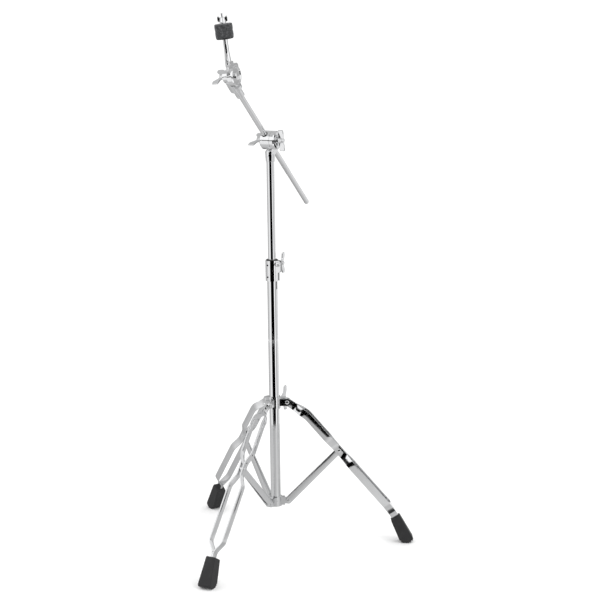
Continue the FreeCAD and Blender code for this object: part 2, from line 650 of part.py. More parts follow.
def make_upper_tube():
    flange_r = BASE_TUBE_R + CLAMP_WALL * 0.45
    inner = BASE_TUBE_R - BASE_TUBE_WALL
    bore = UPPER_TUBE_R + RUN
    top = BASE_TUBE_TOP + GAP
    bushing = fuse(cylinder(Vector(0, 0, BASE_TUBE_TOP - BUSHING_LENGTH), Z, inner - RUN,
                            BUSHING_LENGTH + GAP),
                   cylinder(Vector(0, 0, top), Z, flange_r, BUSHING_FLANGE))
    bushing = bushing.cut(cylinder(Vector(0, 0, BASE_TUBE_TOP - 200), Z, bore, 400))
    export("tube_bushing", bushing)
    tube_low = BASE_TUBE_TOP - UPPER_TUBE_HIDDEN
    tube_high = CLUTCH_Z - CLUTCH_R - 6.0
    tube_in = UPPER_TUBE_R - UPPER_TUBE_WALL
    tube = pipe(Vector(0, 0, tube_low), Z, UPPER_TUBE_R, tube_in, tube_high - tube_low)
    pin = cross_pin()
    export("upper_tube", tube.cut(pin))
    plug = fuse(cylinder(Vector(0, 0, tube_low), Z, tube_in, 10),
                cylinder(Vector(0, 0, tube_low - 2), Z, UPPER_TUBE_R, 2))
    export("upper_tube_plug", plug)
    return tube_high, pin


# ---------------------------------------------------------------- boom clutch
TILT_AXIS = Vector(math.cos(rad(CLUTCH_TURN)), -math.sin(rad(CLUTCH_TURN)), 0)
FORWARD = Vector(-math.sin(rad(CLUTCH_TURN)), -math.cos(rad(CLUTCH_TURN)), 0)
BOOM_DIR = FORWARD * math.sin(rad(BOOM_TILT)) + Z * math.cos(rad(BOOM_TILT))
CLUTCH = Vector(0, 0, CLUTCH_Z)
BOOM_MID = CLUTCH + TILT_AXIS * BOOM_OFFSET
LINER_R = BOOM_R + RUN + LINER_WALL
EYE_R = LINER_R + RUN + 3.0
EYE_HALF = 5.0
EYE_ROOM_R = math.hypot(EYE_R, EYE_HALF) + GAP
BASE_HALF_LEFT = HUB_RIGHT + CLUTCH_WASHER_T
BASE_HALF_RIGHT = BASE_HALF_LEFT + BASE_HALF_T


def cross_pin():
    z = CLUTCH_Z - CLUTCH_R - SLEEVE_LENGTH * 0.5
    reach = (SLEEVE_R_BOTTOM + SLEEVE_R_TOP) / 2 + 0.5
    return cylinder(Vector(0, 0, z) - FORWARD * reach, FORWARD, 1.6, 2 * reach)


def make_boom_base(tube_high, pin):
    """Sleeve on the upper tube, carrying the right half of the clutch."""
    top = CLUTCH_Z - CLUTCH_R - GAP * 2
    low = top - SLEEVE_LENGTH
    sleeve = turned([(0, low), (SLEEVE_R_BOTTOM - 0.8, low), (SLEEVE_R_BOTTOM, low + 0.8),
                     (SLEEVE_R_TOP, top - 5), (SLEEVE_R_TOP - 4, top), (0, top)], ORIGIN, Z, X)
    half = turned([(0, BASE_HALF_LEFT), (CLUTCH_R, BASE_HALF_LEFT), (CLUTCH_R, BASE_HALF_RIGHT - 2.5),
                   (CLUTCH_R - 2.5, BASE_HALF_RIGHT), (0, BASE_HALF_RIGHT)], CLUTCH, TILT_AXIS, Z)
    inner, outer = BASE_HALF_LEFT, BASE_HALF_RIGHT - 3.0
    web = prism([(0, top - 12), (SLEEVE_R_TOP * 0.8, top - 12), (outer, top + 4), (outer, CLUTCH_Z - 12),
                 (inner, CLUTCH_Z - 12), (inner, top - 1), (0, top - 1)], ORIGIN, TILT_AXIS, Z,
                SLEEVE_R_TOP * 1.4)
    room = cylinder(CLUTCH + TILT_AXIS * (HUB_LEFT - 30), TILT_AXIS, CLUTCH_R + GAP * 2,
                    BASE_HALF_LEFT - HUB_LEFT + 30)
    body = fuse(sleeve, half, web.cut(room))
    body = body.cut(cylinder(Vector(0, 0, low - 1), Z, UPPER_TUBE_R, tube_high - low + 1))
    body = body.cut(cylinder(CLUTCH, TILT_AXIS, STUD_R + RUN, 60)).cut(pin)
    export("boom_base", body)
    export("boom_base_pin", pin)


def make_boom_hub():
    """Left half of the clutch, bored across for the boom and hollow for the eyebolt."""
    bevel = 2.5
    hub = turned([(0, HUB_LEFT), (CLUTCH_R - bevel, HUB_LEFT), (CLUTCH_R, HUB_LEFT + bevel),
                  (CLUTCH_R, HUB_RIGHT), (0, HUB_RIGHT)], CLUTCH, TILT_AXIS, Z)
    boss_left = HUB_LEFT - 4.5
    boss = cylinder(CLUTCH + TILT_AXIS * boss_left, TILT_AXIS, 9.0, 6)
    hub = fuse(hub, boss)
    cavity_left = BOOM_OFFSET - EYE_R - GAP
    cavity = cylinder(CLUTCH + TILT_AXIS * cavity_left, TILT_AXIS, EYE_ROOM_R, 60)
    bore = cylinder(BOOM_MID - BOOM_DIR * 60, BOOM_DIR, LINER_R + RUN, 120)
    hub = hub.cut(cavity).cut(bore)
    hub = hub.cut(cylinder(CLUTCH - TILT_AXIS * 60, TILT_AXIS, STUD_R + RUN, 60))
    export("boom_hub", hub)

    eye = fuse(cylinder(BOOM_MID - BOOM_DIR * EYE_HALF, BOOM_DIR, EYE_R, 2 * EYE_HALF),
               cylinder(BOOM_MID, TILT_AXIS, STUD_R, BASE_HALF_RIGHT - BOOM_OFFSET + 17))
    eye = eye.cut(cylinder(BOOM_MID - BOOM_DIR * 20, BOOM_DIR, LINER_R + RUN, 40))
    eye = eye.cut(cylinder(BOOM_MID - TILT_AXIS * 30, TILT_AXIS, STUD_R + RUN, 30))
    export("boom_eyebolt", eye)
    washer = pipe(CLUTCH + TILT_AXIS * HUB_RIGHT, TILT_AXIS, CLUTCH_R - 1.0, EYE_ROOM_R + 1.0,
                  CLUTCH_WASHER_T - RUN)
    export("clutch_washer", washer)

    seat = BASE_HALF_RIGHT
    export("boom_nut_washer",
           pipe(CLUTCH + TILT_AXIS * (seat + RUN), TILT_AXIS, 13.5, STUD_R, BOOM_WASHER_T))
    nut = wing_nut(STUD_R + RUN, 7.6, 15.0, 26.5, 1.8, 14.0)
    nut_at = CLUTCH + TILT_AXIS * (seat + RUN + BOOM_WASHER_T + GAP)
    export("boom_wing_nut", placed(nut, nut_at, turn_about(Z, TILT_AXIS, BOOM_NUT_TURN), TILT_AXIS))

    tip = BOOM_OFFSET - LINER_R - GAP
    head_at = boss_left - GAP
    screw = wing_screw(STUD_R, tip - head_at, 8.0, 12.0, 28.0, 9.5, 16.0)
    wing_dir = FORWARD * math.cos(rad(LOCK_WING_DROOP)) - Z * math.sin(rad(LOCK_WING_DROOP))
    export("boom_lock_screw",
           placed(screw, CLUTCH + TILT_AXIS * head_at, wing_dir, TILT_AXIS * -1))


def make_boom():
    liner_half = CLUTCH_R + GAP
    liner = cylinder(BOOM_MID - BOOM_DIR * liner_half, BOOM_DIR, LINER_R, 2 * liner_half)
    liner = liner.cut(cylinder(BOOM_MID - BOOM_DIR * 60, BOOM_DIR, BOOM_R + RUN, 120))
    export("boom_liner", liner)
    chamfer = 1.0
    rod = turned([(0, 0), (BOOM_TAIL_R - chamfer, 0), (BOOM_TAIL_R, chamfer), (BOOM_TAIL_R, KNURL_LENGTH),
                  (BOOM_R, KNURL_LENGTH), (BOOM_R, BOOM_LENGTH), (0, BOOM_LENGTH)],
                 BOOM_MID - BOOM_DIR * BOOM_TAIL, BOOM_DIR, TILT_AXIS)
    key = tilter_set_screw()
    export("boom_rod", rod.cut(key))
    return key


# ---------------------------------------------------------------- cymbal tilter


TILTER = BOOM_MID + BOOM_DIR * TILTER_DISTANCE
TILTER_AXIS = turn_about(TILT_AXIS, BOOM_DIR, TILTER_ROLL)
CYMBAL_DIR = turn_about(BOOM_DIR, TILTER_AXIS, CYMBAL_LEAN)
if CYMBAL_DIR.z < BOOM_DIR.z:
    CYMBAL_DIR = turn_about(BOOM_DIR, TILTER_AXIS, -CYMBAL_LEAN)
TILTER_SIDE = TILTER_AXIS.cross(CYMBAL_DIR)
POST = TILTER + TILTER_AXIS * POST_OFFSET
HEAD_LEFT = TILTER_BASE_RIGHT + CLUTCH_WASHER_T
HEAD_RIGHT = HEAD_LEFT + TILTER_HEAD_T


def tilter_set_screw():
    place = TILTER - BOOM_DIR * (TILTER_SLEEVE_END - 7.0)
    side = TILTER_AXIS.cross(BOOM_DIR)
    if side.z > 0:
        side = side * -1
    return cylinder(place + side * (BOOM_R - 1.2), side, 2.2, TILTER_SLEEVE_R - BOOM_R + 1.8)


def make_tilter_base(key):
    """Lower half: a sleeve pinned on the boom and a disc that the head turns against."""
    disc = cylinder(TILTER + TILTER_AXIS * TILTER_BASE_LEFT, TILTER_AXIS, TILTER_BASE_R,
                    TILTER_BASE_RIGHT - TILTER_BASE_LEFT)
    flange = cylinder(TILTER + TILTER_AXIS * (TILTER_BASE_RIGHT - TILTER_FLANGE_T), TILTER_AXIS,
                      TILTER_FLANGE_R, TILTER_FLANGE_T)
    down = BOOM_DIR * -1
    sweep = max(TILTER_HEAD_R, math.hypot(HEAD_SHOULDER, HEAD_HALF - HEAD_CORNER),
                math.hypot(HEAD_SHOULDER - HEAD_CORNER, HEAD_HALF)) + 1.0
    neck = turned([(0, 8), (NECK_R, 8), (NECK_R, NECK_END - 5), (TILTER_SLEEVE_R, NECK_END),
                   (TILTER_SLEEVE_R, TILTER_SLEEVE_END - 1), (TILTER_SLEEVE_R - 1, TILTER_SLEEVE_END),
                   (0, TILTER_SLEEVE_END)], TILTER, down, TILTER_AXIS)
    room = cylinder(TILTER + TILTER_AXIS * TILTER_BASE_RIGHT, TILTER_AXIS, sweep, 60)
    left_room = cylinder(TILTER + TILTER_AXIS * (TILTER_BASE_LEFT - 60), TILTER_AXIS,
                         TILTER_HEAD_R + 1.0, 60)
    body = fuse(disc, flange, neck.cut(room).cut(left_room))
    rod_top = TILTER_DISTANCE - (BOOM_LENGTH - BOOM_TAIL)
    body = body.cut(cylinder(TILTER + down * rod_top, down, BOOM_R, 80))
    body = body.cut(cylinder(TILTER - TILTER_AXIS * 60, TILTER_AXIS, STUD_R + RUN, 120)).cut(key)
    export("tilter_base", body)
    export("tilter_set_screw", key)
    ring = pipe(TILTER + TILTER_AXIS * TILTER_BASE_RIGHT, TILTER_AXIS, TILTER_FLANGE_R - 0.5,
                STUD_R + 1.0, CLUTCH_WASHER_T - RUN)
    export("tilter_washer", ring)


def make_tilter_head():
    """Upper half: a disc with a raised rim, a web and the tapered post of the cymbal rod."""
    rim = 2.0
    disc = turned([(0, HEAD_LEFT), (TILTER_HEAD_R, HEAD_LEFT), (TILTER_HEAD_R, HEAD_RIGHT - rim),
                   (TILTER_HEAD_R - rim, HEAD_RIGHT), (TILTER_HEAD_R - 5.0, HEAD_RIGHT),
                   (TILTER_HEAD_R - 6.5, HEAD_RIGHT - 2.0), (0, HEAD_RIGHT - 2.0)],
                  TILTER, TILTER_AXIS, CYMBAL_DIR)
    wide, corner = HEAD_HALF, HEAD_CORNER
    cheek = prism([(0, -wide), (HEAD_SHOULDER - corner, -wide), (HEAD_SHOULDER, corner - wide),
                   (HEAD_SHOULDER, wide - corner), (HEAD_SHOULDER - corner, wide), (0, wide)],
                  TILTER + TILTER_AXIS * (HEAD_LEFT + HEAD_CHEEK_T / 2), CYMBAL_DIR, TILTER_SIDE * -1,
                  HEAD_CHEEK_T)
    web_half = 8.5
    web = prism([(0, HEAD_LEFT), (0, HEAD_LEFT + 7.0), (POST_START + 12, HEAD_LEFT + 5.0),
                 (POST_START + 12, HEAD_LEFT - 2.0), (POST_START + 2, HEAD_LEFT)],
                TILTER, CYMBAL_DIR, TILTER_AXIS, 2 * web_half)
    post = turned([(0, POST_START), (POST_BASE_R, POST_START), (POST_BASE_R, POST_START + 13),
                   (POST_TOP_R + 0.4, POST_START + 32), (POST_TOP_R, POST_TOP), (0, POST_TOP)],
                  POST, CYMBAL_DIR, TILTER_AXIS)
    head = fuse(disc, cheek, web, post)
    head = head.cut(cylinder(TILTER - TILTER_AXIS * 60, TILTER_AXIS, STUD_R, 120))
    rod_low = POST_TOP - 25.0
    head = head.cut(cylinder(POST + CYMBAL_DIR * rod_low, CYMBAL_DIR, CYMBAL_ROD_R, 60))
    export("tilter_head", head)
    bolt_left = TILTER_BASE_LEFT - 14.0
    bolt = fuse(cylinder(TILTER + TILTER_AXIS * bolt_left, TILTER_AXIS, STUD_R, HEAD_RIGHT - 2 - bolt_left),
                turned([(0, 0), (10.2, 0), (10.2, 3.2), (9.0, 4.6), (6.0, 5.6), (0, 6.0)],
                       TILTER + TILTER_AXIS * (HEAD_RIGHT - 2.0), TILTER_AXIS, CYMBAL_DIR))
    export("tilter_bolt", bolt)
    nut = wing_nut(STUD_R + RUN, 7.2, 12.0, 25.0, 10.0, 16.0)
    level = TILTER_AXIS.cross(Z).normalize()
    droop = TILTER_AXIS.cross(level)
    if droop.z > 0:
        droop = droop * -1
    wing_dir = level * math.cos(rad(TILTER_WING_DROOP)) + droop * math.sin(rad(TILTER_WING_DROOP))
    export("tilter_wing_nut",
           placed(nut, TILTER + TILTER_AXIS * (TILTER_BASE_LEFT - GAP), wing_dir, TILTER_AXIS * -1))
    return rod_low


def make_cymbal_seat(rod_low):
    tip = CYMBAL_ROD_TOP - ROD_TIP_LENGTH
    rod = fuse(cylinder(POST + CYMBAL_DIR * rod_low, CYMBAL_DIR, CYMBAL_ROD_R, tip - rod_low),
               cylinder(POST + CYMBAL_DIR * tip, CYMBAL_DIR, ROD_TIP_R, ROD_TIP_LENGTH))
    export("cymbal_rod", rod)
    cup_low = POST_TOP
    cup_profile = [(CYMBAL_ROD_R, 0), (9, 0), (CUP_R - 1.5, 1.2), (CUP_R, CUP_T), (CUP_R - 1.0, CUP_T),
                   (CUP_R - 2.2, 2.4), (CYMBAL_ROD_R, 2.4)]
    cup = turned(cup_profile, POST + CYMBAL_DIR * cup_low, CYMBAL_DIR, TILTER_AXIS)
    export("cup_washer", cup)
    seat = cup_low + 2.4
    sleeve_top = cup_low + CUP_T + 2 * FELT_T - 4.0
    sleeve = pipe(POST + CYMBAL_DIR * seat, CYMBAL_DIR, SLEEVE_TUBE_R, CYMBAL_ROD_R, sleeve_top - seat)
    export("cymbal_sleeve", sleeve)
    for i, name in enumerate(("lower_felt", "upper_felt")):
        low = cup_low + CUP_T + i * FELT_T
        felt = pipe(POST + CYMBAL_DIR * low, CYMBAL_DIR, FELT_R, SLEEVE_TUBE_R, FELT_T)
        felt = rounded(felt, 1.5, lambda e: e.Curve.TypeId == "Part::GeomCircle"
                       and abs(e.Curve.Radius - FELT_R) < 0.01)
        export(name, felt)
    top = cup_low + CUP_T + 2 * FELT_T
    export("top_washer", pipe(POST + CYMBAL_DIR * top, CYMBAL_DIR, 8.0, CYMBAL_ROD_R, 1.4))
    nut = wing_nut(CYMBAL_ROD_R + RUN, 7.6, 13.0, 12.2, 3.0, 13.5)
    export("cymbal_wing_nut", placed(nut, POST + CYMBAL_DIR * (top + 1.4 + GAP),
                                     turn_about(TILTER_AXIS, CYMBAL_DIR, 12), CYMBAL_DIR))


# ---------------------------------------------------------------- build


def main():
    os.makedirs(PARTS, exist_ok=True)
    make_legs()
    collar_pin = make_collars()
    rivets = make_base_tube(collar_pin)
    make_height_clamp(rivets)
    tube_high, pin = make_upper_tube()
    make_boom_base(tube_high, pin)
    make_boom_hub()
    key = make_boom()
    make_tilter_base(key)
    rod_low = make_tilter_head()
    make_cymbal_seat(rod_low)


main()
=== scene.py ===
"""Cymbal boom stand: the finished look of the stand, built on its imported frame, in metres."""
import json
import math

import bmesh
import bpy
import numpy as np
from mathutils import Matrix, Vector


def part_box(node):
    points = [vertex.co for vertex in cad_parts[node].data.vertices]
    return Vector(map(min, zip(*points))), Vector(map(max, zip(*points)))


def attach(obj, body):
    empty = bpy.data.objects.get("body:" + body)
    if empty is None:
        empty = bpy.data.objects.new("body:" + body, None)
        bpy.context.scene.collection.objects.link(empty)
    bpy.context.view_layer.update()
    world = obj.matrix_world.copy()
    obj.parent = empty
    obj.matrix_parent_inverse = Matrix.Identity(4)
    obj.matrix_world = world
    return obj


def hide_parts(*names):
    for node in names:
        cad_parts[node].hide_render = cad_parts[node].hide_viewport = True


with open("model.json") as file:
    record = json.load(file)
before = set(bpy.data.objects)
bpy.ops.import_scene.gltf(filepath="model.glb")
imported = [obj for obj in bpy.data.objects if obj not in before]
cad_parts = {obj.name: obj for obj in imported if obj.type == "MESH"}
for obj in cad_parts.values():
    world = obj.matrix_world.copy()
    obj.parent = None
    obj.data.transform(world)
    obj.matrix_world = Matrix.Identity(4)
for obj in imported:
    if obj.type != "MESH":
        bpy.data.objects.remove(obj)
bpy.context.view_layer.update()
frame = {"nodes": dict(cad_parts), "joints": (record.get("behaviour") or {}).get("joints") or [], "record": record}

bl_info = {
    "name": "Cymbal boom stand",
    "version": (1, 0, 0),
    "blender": (4, 5, 0),
    "location": "3D View > Sidebar > Stand",
    "description": "Builds the chrome, rubber and felt pieces of a cymbal boom stand on its frame",
    "category": "Add Mesh",
}

LEGS = {"right": 0.0, "back": 120.0, "front": 240.0}
JOINTS = {joint["name"]: joint for joint in frame["joints"]}

# ------------------------------------------------------------------ directions taken from the joints


def joint_axis(name):
    return np.array(JOINTS[name]["axis"], float)


def joint_place(name):
    return np.array(JOINTS[name]["pos_m"], float)


def unit(v):
    v = np.asarray(v, float)
    return v / np.linalg.norm(v, axis=-1, keepdims=True)


UP = np.array([0.0, 0.0, 1.0])
CLUTCH = joint_place("boom_tilt")
TILT_AXIS = joint_axis("boom_tilt")
BOOM_MID = joint_place("boom_roll")
BOOM_DIR = joint_axis("boom_roll")
TILTER = joint_place("cymbal_tilt")
TILTER_AXIS = joint_axis("cymbal_tilt")
POST = joint_place("cymbal_nut_spin")
CYMBAL_DIR = joint_axis("cymbal_nut_spin")
FORWARD = unit(np.array([BOOM_DIR[0], BOOM_DIR[1], 0.0]))
UPPER_PIVOT = joint_place("leg_collar_fold")
LOWER_PIVOT = joint_place("tripod_fold")
WAIST = joint_place("right_waist_fold")

# ------------------------------------------------------------------ sizes a user may change


class StandSizes(bpy.types.PropertyGroup):
    strap_edge: bpy.props.FloatProperty(
        name="Strap edge", description="Radius rolled on the long edges of the straps", default=0.0004,
        min=0.0002, max=0.0014, unit="LENGTH")
    bend_softness: bpy.props.FloatProperty(
        name="Bend softness", description="Length over which a strap turns at each bend", default=0.012,
        min=0.002, max=0.03, unit="LENGTH")
    wing_thickness: bpy.props.FloatProperty(
        name="Wing thickness", description="Thickness of a wing nut's blade at its root", default=0.0042,
        min=0.002, max=0.006, unit="LENGTH")
    felt_bulge: bpy.props.FloatProperty(
        name="Felt bulge", description="How far a squeezed felt swells at its middle", default=0.0005,
        min=0.0, max=0.002, unit="LENGTH")
    knurl_pitch: bpy.props.FloatProperty(
        name="Knurl pitch", description="Spacing of the diamonds on the boom's tail", default=0.0021,
        min=0.001, max=0.004, unit="LENGTH")


class StandColours(bpy.types.PropertyGroup):
    chrome: bpy.props.FloatVectorProperty(
        name="Chrome", description="Colour of the plated metal", default=(0.86, 0.865, 0.87),
        subtype="COLOR", min=0.0, max=1.0)
    rubber: bpy.props.FloatVectorProperty(
        name="Rubber", description="Colour of the feet", default=(0.017, 0.017, 0.018),
        subtype="COLOR", min=0.0, max=1.0)
    felt: bpy.props.FloatVectorProperty(
        name="Felt", description="Colour of the two felts", default=(0.047, 0.048, 0.05),
        subtype="COLOR", min=0.0, max=1.0)
    plastic: bpy.props.FloatVectorProperty(
        name="Plastic", description="Colour of the bushing, plugs, liner and cup", default=(0.012, 0.012, 0.013),
        subtype="COLOR", min=0.0, max=1.0)


# ------------------------------------------------------------------ finishes


def shader(name, metallic, roughness):
    material = bpy.data.materials.get(name)
    if material:
        return material, None, None, None
    material = bpy.data.materials.new(name)
    material.use_nodes = True
    nodes, links = material.node_tree.nodes, material.node_tree.links
    surface = nodes["Principled BSDF"]
    surface.inputs["Metallic"].default_value = metallic
    surface.inputs["Roughness"].default_value = roughness
    return material, nodes, links, surface


def noise(nodes, links, scale, detail, source):
    texture = nodes.new("ShaderNodeTexNoise")
    texture.inputs["Scale"].default_value = scale
    texture.inputs["Detail"].default_value = detail
    links.new(source, texture.inputs["Vector"])
    return texture.outputs["Fac"]


def spread(nodes, links, fac, low, high):
    """Maps the middle of a noise value onto low to high."""
    node = nodes.new("ShaderNodeMapRange")
    node.inputs["From Min"].default_value = 0.3
    node.inputs["From Max"].default_value = 0.7
    node.inputs["To Min"].default_value = low
    node.inputs["To Max"].default_value = high
    links.new(fac, node.inputs["Value"])
    return node.outputs["Result"]


def ramp(nodes, links, fac, stops):
    node = nodes.new("ShaderNodeValToRGB")
    band = node.color_ramp
    while len(band.elements) < len(stops):
        band.elements.new(0.5)
    for element, (place, colour) in zip(band.elements, stops):
        element.position = place
        element.color = (*colour, 1.0)
    links.new(fac, node.inputs["Fac"])
    return node.outputs["Color"]


def bump(nodes, links, height, strength, distance, surface):
    node = nodes.new("ShaderNodeBump")
    node.inputs["Strength"].default_value = strength
    node.inputs["Distance"].default_value = distance
    links.new(height, node.inputs["Height"])
    links.new(node.outputs["Normal"], surface.inputs["Normal"])


def chrome_finish(name, colour, rough_low, rough_high, ripple):
    """Bright plating: faint cloudy polish marks, and a ripple as deep as the metal underneath shows."""
    material, nodes, links, surface = shader(name, 1.0, rough_low)
    if nodes is None:
        return material
    place = nodes.new("ShaderNodeTexCoord").outputs["Object"]
    cloud = noise(nodes, links, 38.0, 4.0, place)
    links.new(spread(nodes, links, cloud, rough_low, rough_high), surface.inputs["Roughness"])
    dull = tuple(c * 0.965 for c in colour)
    links.new(ramp(nodes, links, cloud, [(0.35, dull), (0.65, tuple(colour))]), surface.inputs["Base Color"])
    bump(nodes, links, noise(nodes, links, 75.0, 2.0, place), ripple, 0.0006, surface)
    return material


def felt_finish(colour):
    """Pressed wool: short crossing fibres, lint and a soft sheen."""
    material, nodes, links, surface = shader("stand_felt", 0.0, 0.95)
    if nodes is None:
        return material
    place = nodes.new("ShaderNodeTexCoord").outputs["Object"]
    fibres = noise(nodes, links, 1500.0, 6.0, place)
    clumps = noise(nodes, links, 230.0, 3.0, place)
    mixed = nodes.new("ShaderNodeMath")
    mixed.operation = "ADD"
    links.new(fibres, mixed.inputs[0])
    links.new(clumps, mixed.inputs[1])
    half = nodes.new("ShaderNodeMath")
    half.operation = "MULTIPLY"
    half.inputs[1].default_value = 0.5
    links.new(mixed.outputs[0], half.inputs[0])
    stops = [(0.36, tuple(c * 0.45 for c in colour)), (0.52, tuple(colour)),
             (0.66, tuple(min(1.0, c * 2.1 + 0.02) for c in colour))]
    links.new(ramp(nodes, links, half.outputs[0], stops), surface.inputs["Base Color"])
    surface.inputs["Sheen Weight"].default_value = 0.5
    surface.inputs["Sheen Roughness"].default_value = 0.45
    surface.inputs["Sheen Tint"].default_value = (0.5, 0.5, 0.52, 1.0)
    surface.inputs["Specular IOR Level"].default_value = 0.15
    bump(nodes, links, half.outputs[0], 0.6, 0.0004, surface)
    return material


def rubber_finish(colour):
    """Moulded rubber: fine stipple, a grey bloom and dusty patches."""
    material, nodes, links, surface = shader("stand_rubber", 0.0, 0.5)
    if nodes is None:
        return material
    place = nodes.new("ShaderNodeTexCoord").outputs["Object"]
    dust = noise(nodes, links, 55.0, 5.0, place)
    stipple = noise(nodes, links, 1900.0, 2.0, place)
    stops = [(0.38, tuple(c * 0.8 for c in colour)), (0.55, tuple(colour)),
             (0.72, tuple(c * 1.35 + 0.004 for c in colour))]
    links.new(ramp(nodes, links, dust, stops), surface.inputs["Base Color"])
    links.new(spread(nodes, links, dust, 0.42, 0.6), surface.inputs["Roughness"])
    bump(nodes, links, stipple, 0.35, 0.0003, surface)
    return material


def plastic_finish(colour):
    """Moulded nylon with a faint spark-eroded grain."""
    material, nodes, links, surface = shader("stand_plastic", 0.0, 0.38)
    if nodes is None:
        return material
    place = nodes.new("ShaderNodeTexCoord").outputs["Object"]
    grain = noise(nodes, links, 900.0, 3.0, place)
    links.new(ramp(nodes, links, grain, [(0.35, tuple(c * 0.8 for c in colour)),
                                         (0.65, tuple(c * 1.3 for c in colour))]), surface.inputs["Base Color"])
    links.new(spread(nodes, links, grain, 0.32, 0.44), surface.inputs["Roughness"])
    bump(nodes, links, grain, 0.2, 0.0002, surface)
    return material


def finish_for(slot):
    colours = bpy.context.scene.stand_colours
    chrome = tuple(colours.chrome)
    if slot == "chrome":
        return chrome_finish("stand_chrome", chrome, 0.035, 0.075, 0.02)
    if slot == "strap_chrome":
        return chrome_finish("stand_strap_chrome", tuple(c * 0.97 for c in chrome), 0.06, 0.13, 0.06)
    if slot == "cast_chrome":
        return chrome_finish("stand_cast_chrome", tuple(c * 0.98 for c in chrome), 0.07, 0.15, 0.10)
    if slot == "dark_steel":
        return chrome_finish("stand_dark_steel", (0.05, 0.05, 0.055), 0.25, 0.4, 0.08)
    if slot == "rubber":
        return rubber_finish(tuple(colours.rubber))
    if slot == "felt":
        return felt_finish(tuple(colours.felt))
    return plastic_finish(tuple(colours.plastic))


# ------------------------------------------------------------------ surfaces


def grid_faces(rows, columns, round_columns=True, round_rows=False):
    """Quads of a grid of rows by columns, joined up round the columns or the rows where it closes."""
    i = np.arange(rows if round_rows else rows - 1)[:, None]
    j = np.arange(columns if round_columns else columns - 1)[None, :]
    i2, j2 = (i + 1) % rows, (j + 1) % columns
    quads = np.stack([i * columns + j, i * columns + j2, i2 * columns + j2, i2 * columns + j], -1)
    return quads.reshape(-1, 4)


def fans(first_row, last_row, start_pole, end_pole):
    """Triangles from a pole to each end row of a grid."""
    low = np.stack([np.full(len(first_row), start_pole), np.roll(first_row, -1), first_row], -1)
    high = np.stack([np.full(len(last_row), end_pole), last_row, np.roll(last_row, -1)], -1)
    return low, high


class Surface:
    """Points and faces gathered from several closed surfaces, for one piece."""

    def __init__(self):
        self.points, self.faces, self.count = [], [], 0

    def add(self, points, faces):
        self.points.append(points)
        self.faces.extend((faces + self.count).tolist())
        self.count += len(points)

    def tube(self, grid, poles=None, round_rows=False):
        """A grid of rows by columns by 3, closed round its columns, with a pole point at each end."""
        rows, columns = grid.shape[:2]
        start = self.count
        points = grid.reshape(-1, 3)
        quads = grid_faces(rows, columns, True, round_rows)
        if poles is None:
            self.add(points, quads)
            return
        n = rows * columns
        low, high = fans(np.arange(columns), np.arange(n - columns, n), n, n + 1)
        self.points.append(np.vstack([points, poles]))
        for part in (quads, low, high):
            self.faces.extend((part + start).tolist())
        self.count += n + 2

    def turned(self, profile, origin, axis, steps=48, side=None):
        """Radius and height points turned about an axis: origin + axis*h + (side*cos + across*sin)*r."""
        axis = unit(axis)
        if side is None:
            side = unit(np.cross(axis, UP if abs(axis[2]) < 0.9 else np.array([1.0, 0.0, 0.0])))
        across = np.cross(axis, side)
        profile = np.asarray(profile, float)
        turn = np.arange(steps) * 2 * math.pi / steps
        ring = np.cos(turn)[:, None] * side + np.sin(turn)[:, None] * across
        body = profile[(profile[:, 0] > 1e-7)]
        grid = origin + axis * body[:, 1][:, None, None] + ring[None] * body[:, 0][:, None, None]
        closed = profile[0, 0] > 1e-7
        poles = None if closed else np.array([origin + axis * profile[0, 1], origin + axis * profile[-1, 1]])
        self.tube(grid, poles, round_rows=closed)

    def swept(self, path, wide, thin, section, scale):
        """A section of (wide, thin) points carried along a path; scale narrows it along wide."""
        grid = (path[:, None] + wide[:, None] * (section[None, :, 0] * scale[:, None])[..., None]
                + thin[:, None] * section[None, :, 1][..., None])
        self.tube(grid, np.array([path[0], path[-1]]))


def to_leg(points, degrees):
    """Turns points about the stand's upright line."""
    c, s = math.cos(math.radians(degrees)), math.sin(math.radians(degrees))
    return points @ np.array([[c, s, 0.0], [-s, c, 0.0], [0.0, 0.0, 1.0]])


def piece(name, surface, body, slot, nodes=(), paint=None, smooth=30.0):
    """Makes one piece from a surface, rides it on its body and hides the nodes it stands for."""
    mesh = bpy.data.meshes.new(name)
    mesh.from_pydata(np.vstack(surface.points).tolist(), [], surface.faces)
    mesh.validate()
    obj = bpy.data.objects.new(name, mesh)
    bpy.context.scene.collection.objects.link(obj)
    mesh.set_sharp_from_angle(angle=math.radians(smooth))
    mesh.polygons.foreach_set("use_smooth", np.ones(len(mesh.polygons), bool))
    mesh.materials.append(finish_for(paint or slot))
    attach(obj, body)
    if nodes:
        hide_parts(*nodes)
    return obj


def rounded_bar(width, thick, edge, steps=5):
    """Closed outline of a flat bar's section: straight sides with a quarter circle at each corner."""
    turn = np.linspace(0, math.pi / 2, steps)
    arc = np.stack([np.cos(turn), np.sin(turn)], -1) * edge
    half = np.array([width / 2 - edge, thick / 2 - edge])
    corners = [arc + half, (arc * [-1, 1] + half * [-1, 1])[::-1], -(arc + half),
               (arc * [1, -1] + half * [1, -1])[::-1]]
    return np.vstack(corners)


def box_smoothed(s, knots, values, window):
    """A straight-line curve through the knots, averaged over a window so that its corners turn softly."""
    offsets = np.linspace(-window / 2, window / 2, 15)
    return np.interp(s[:, None] + offsets[None], knots, values).mean(1)


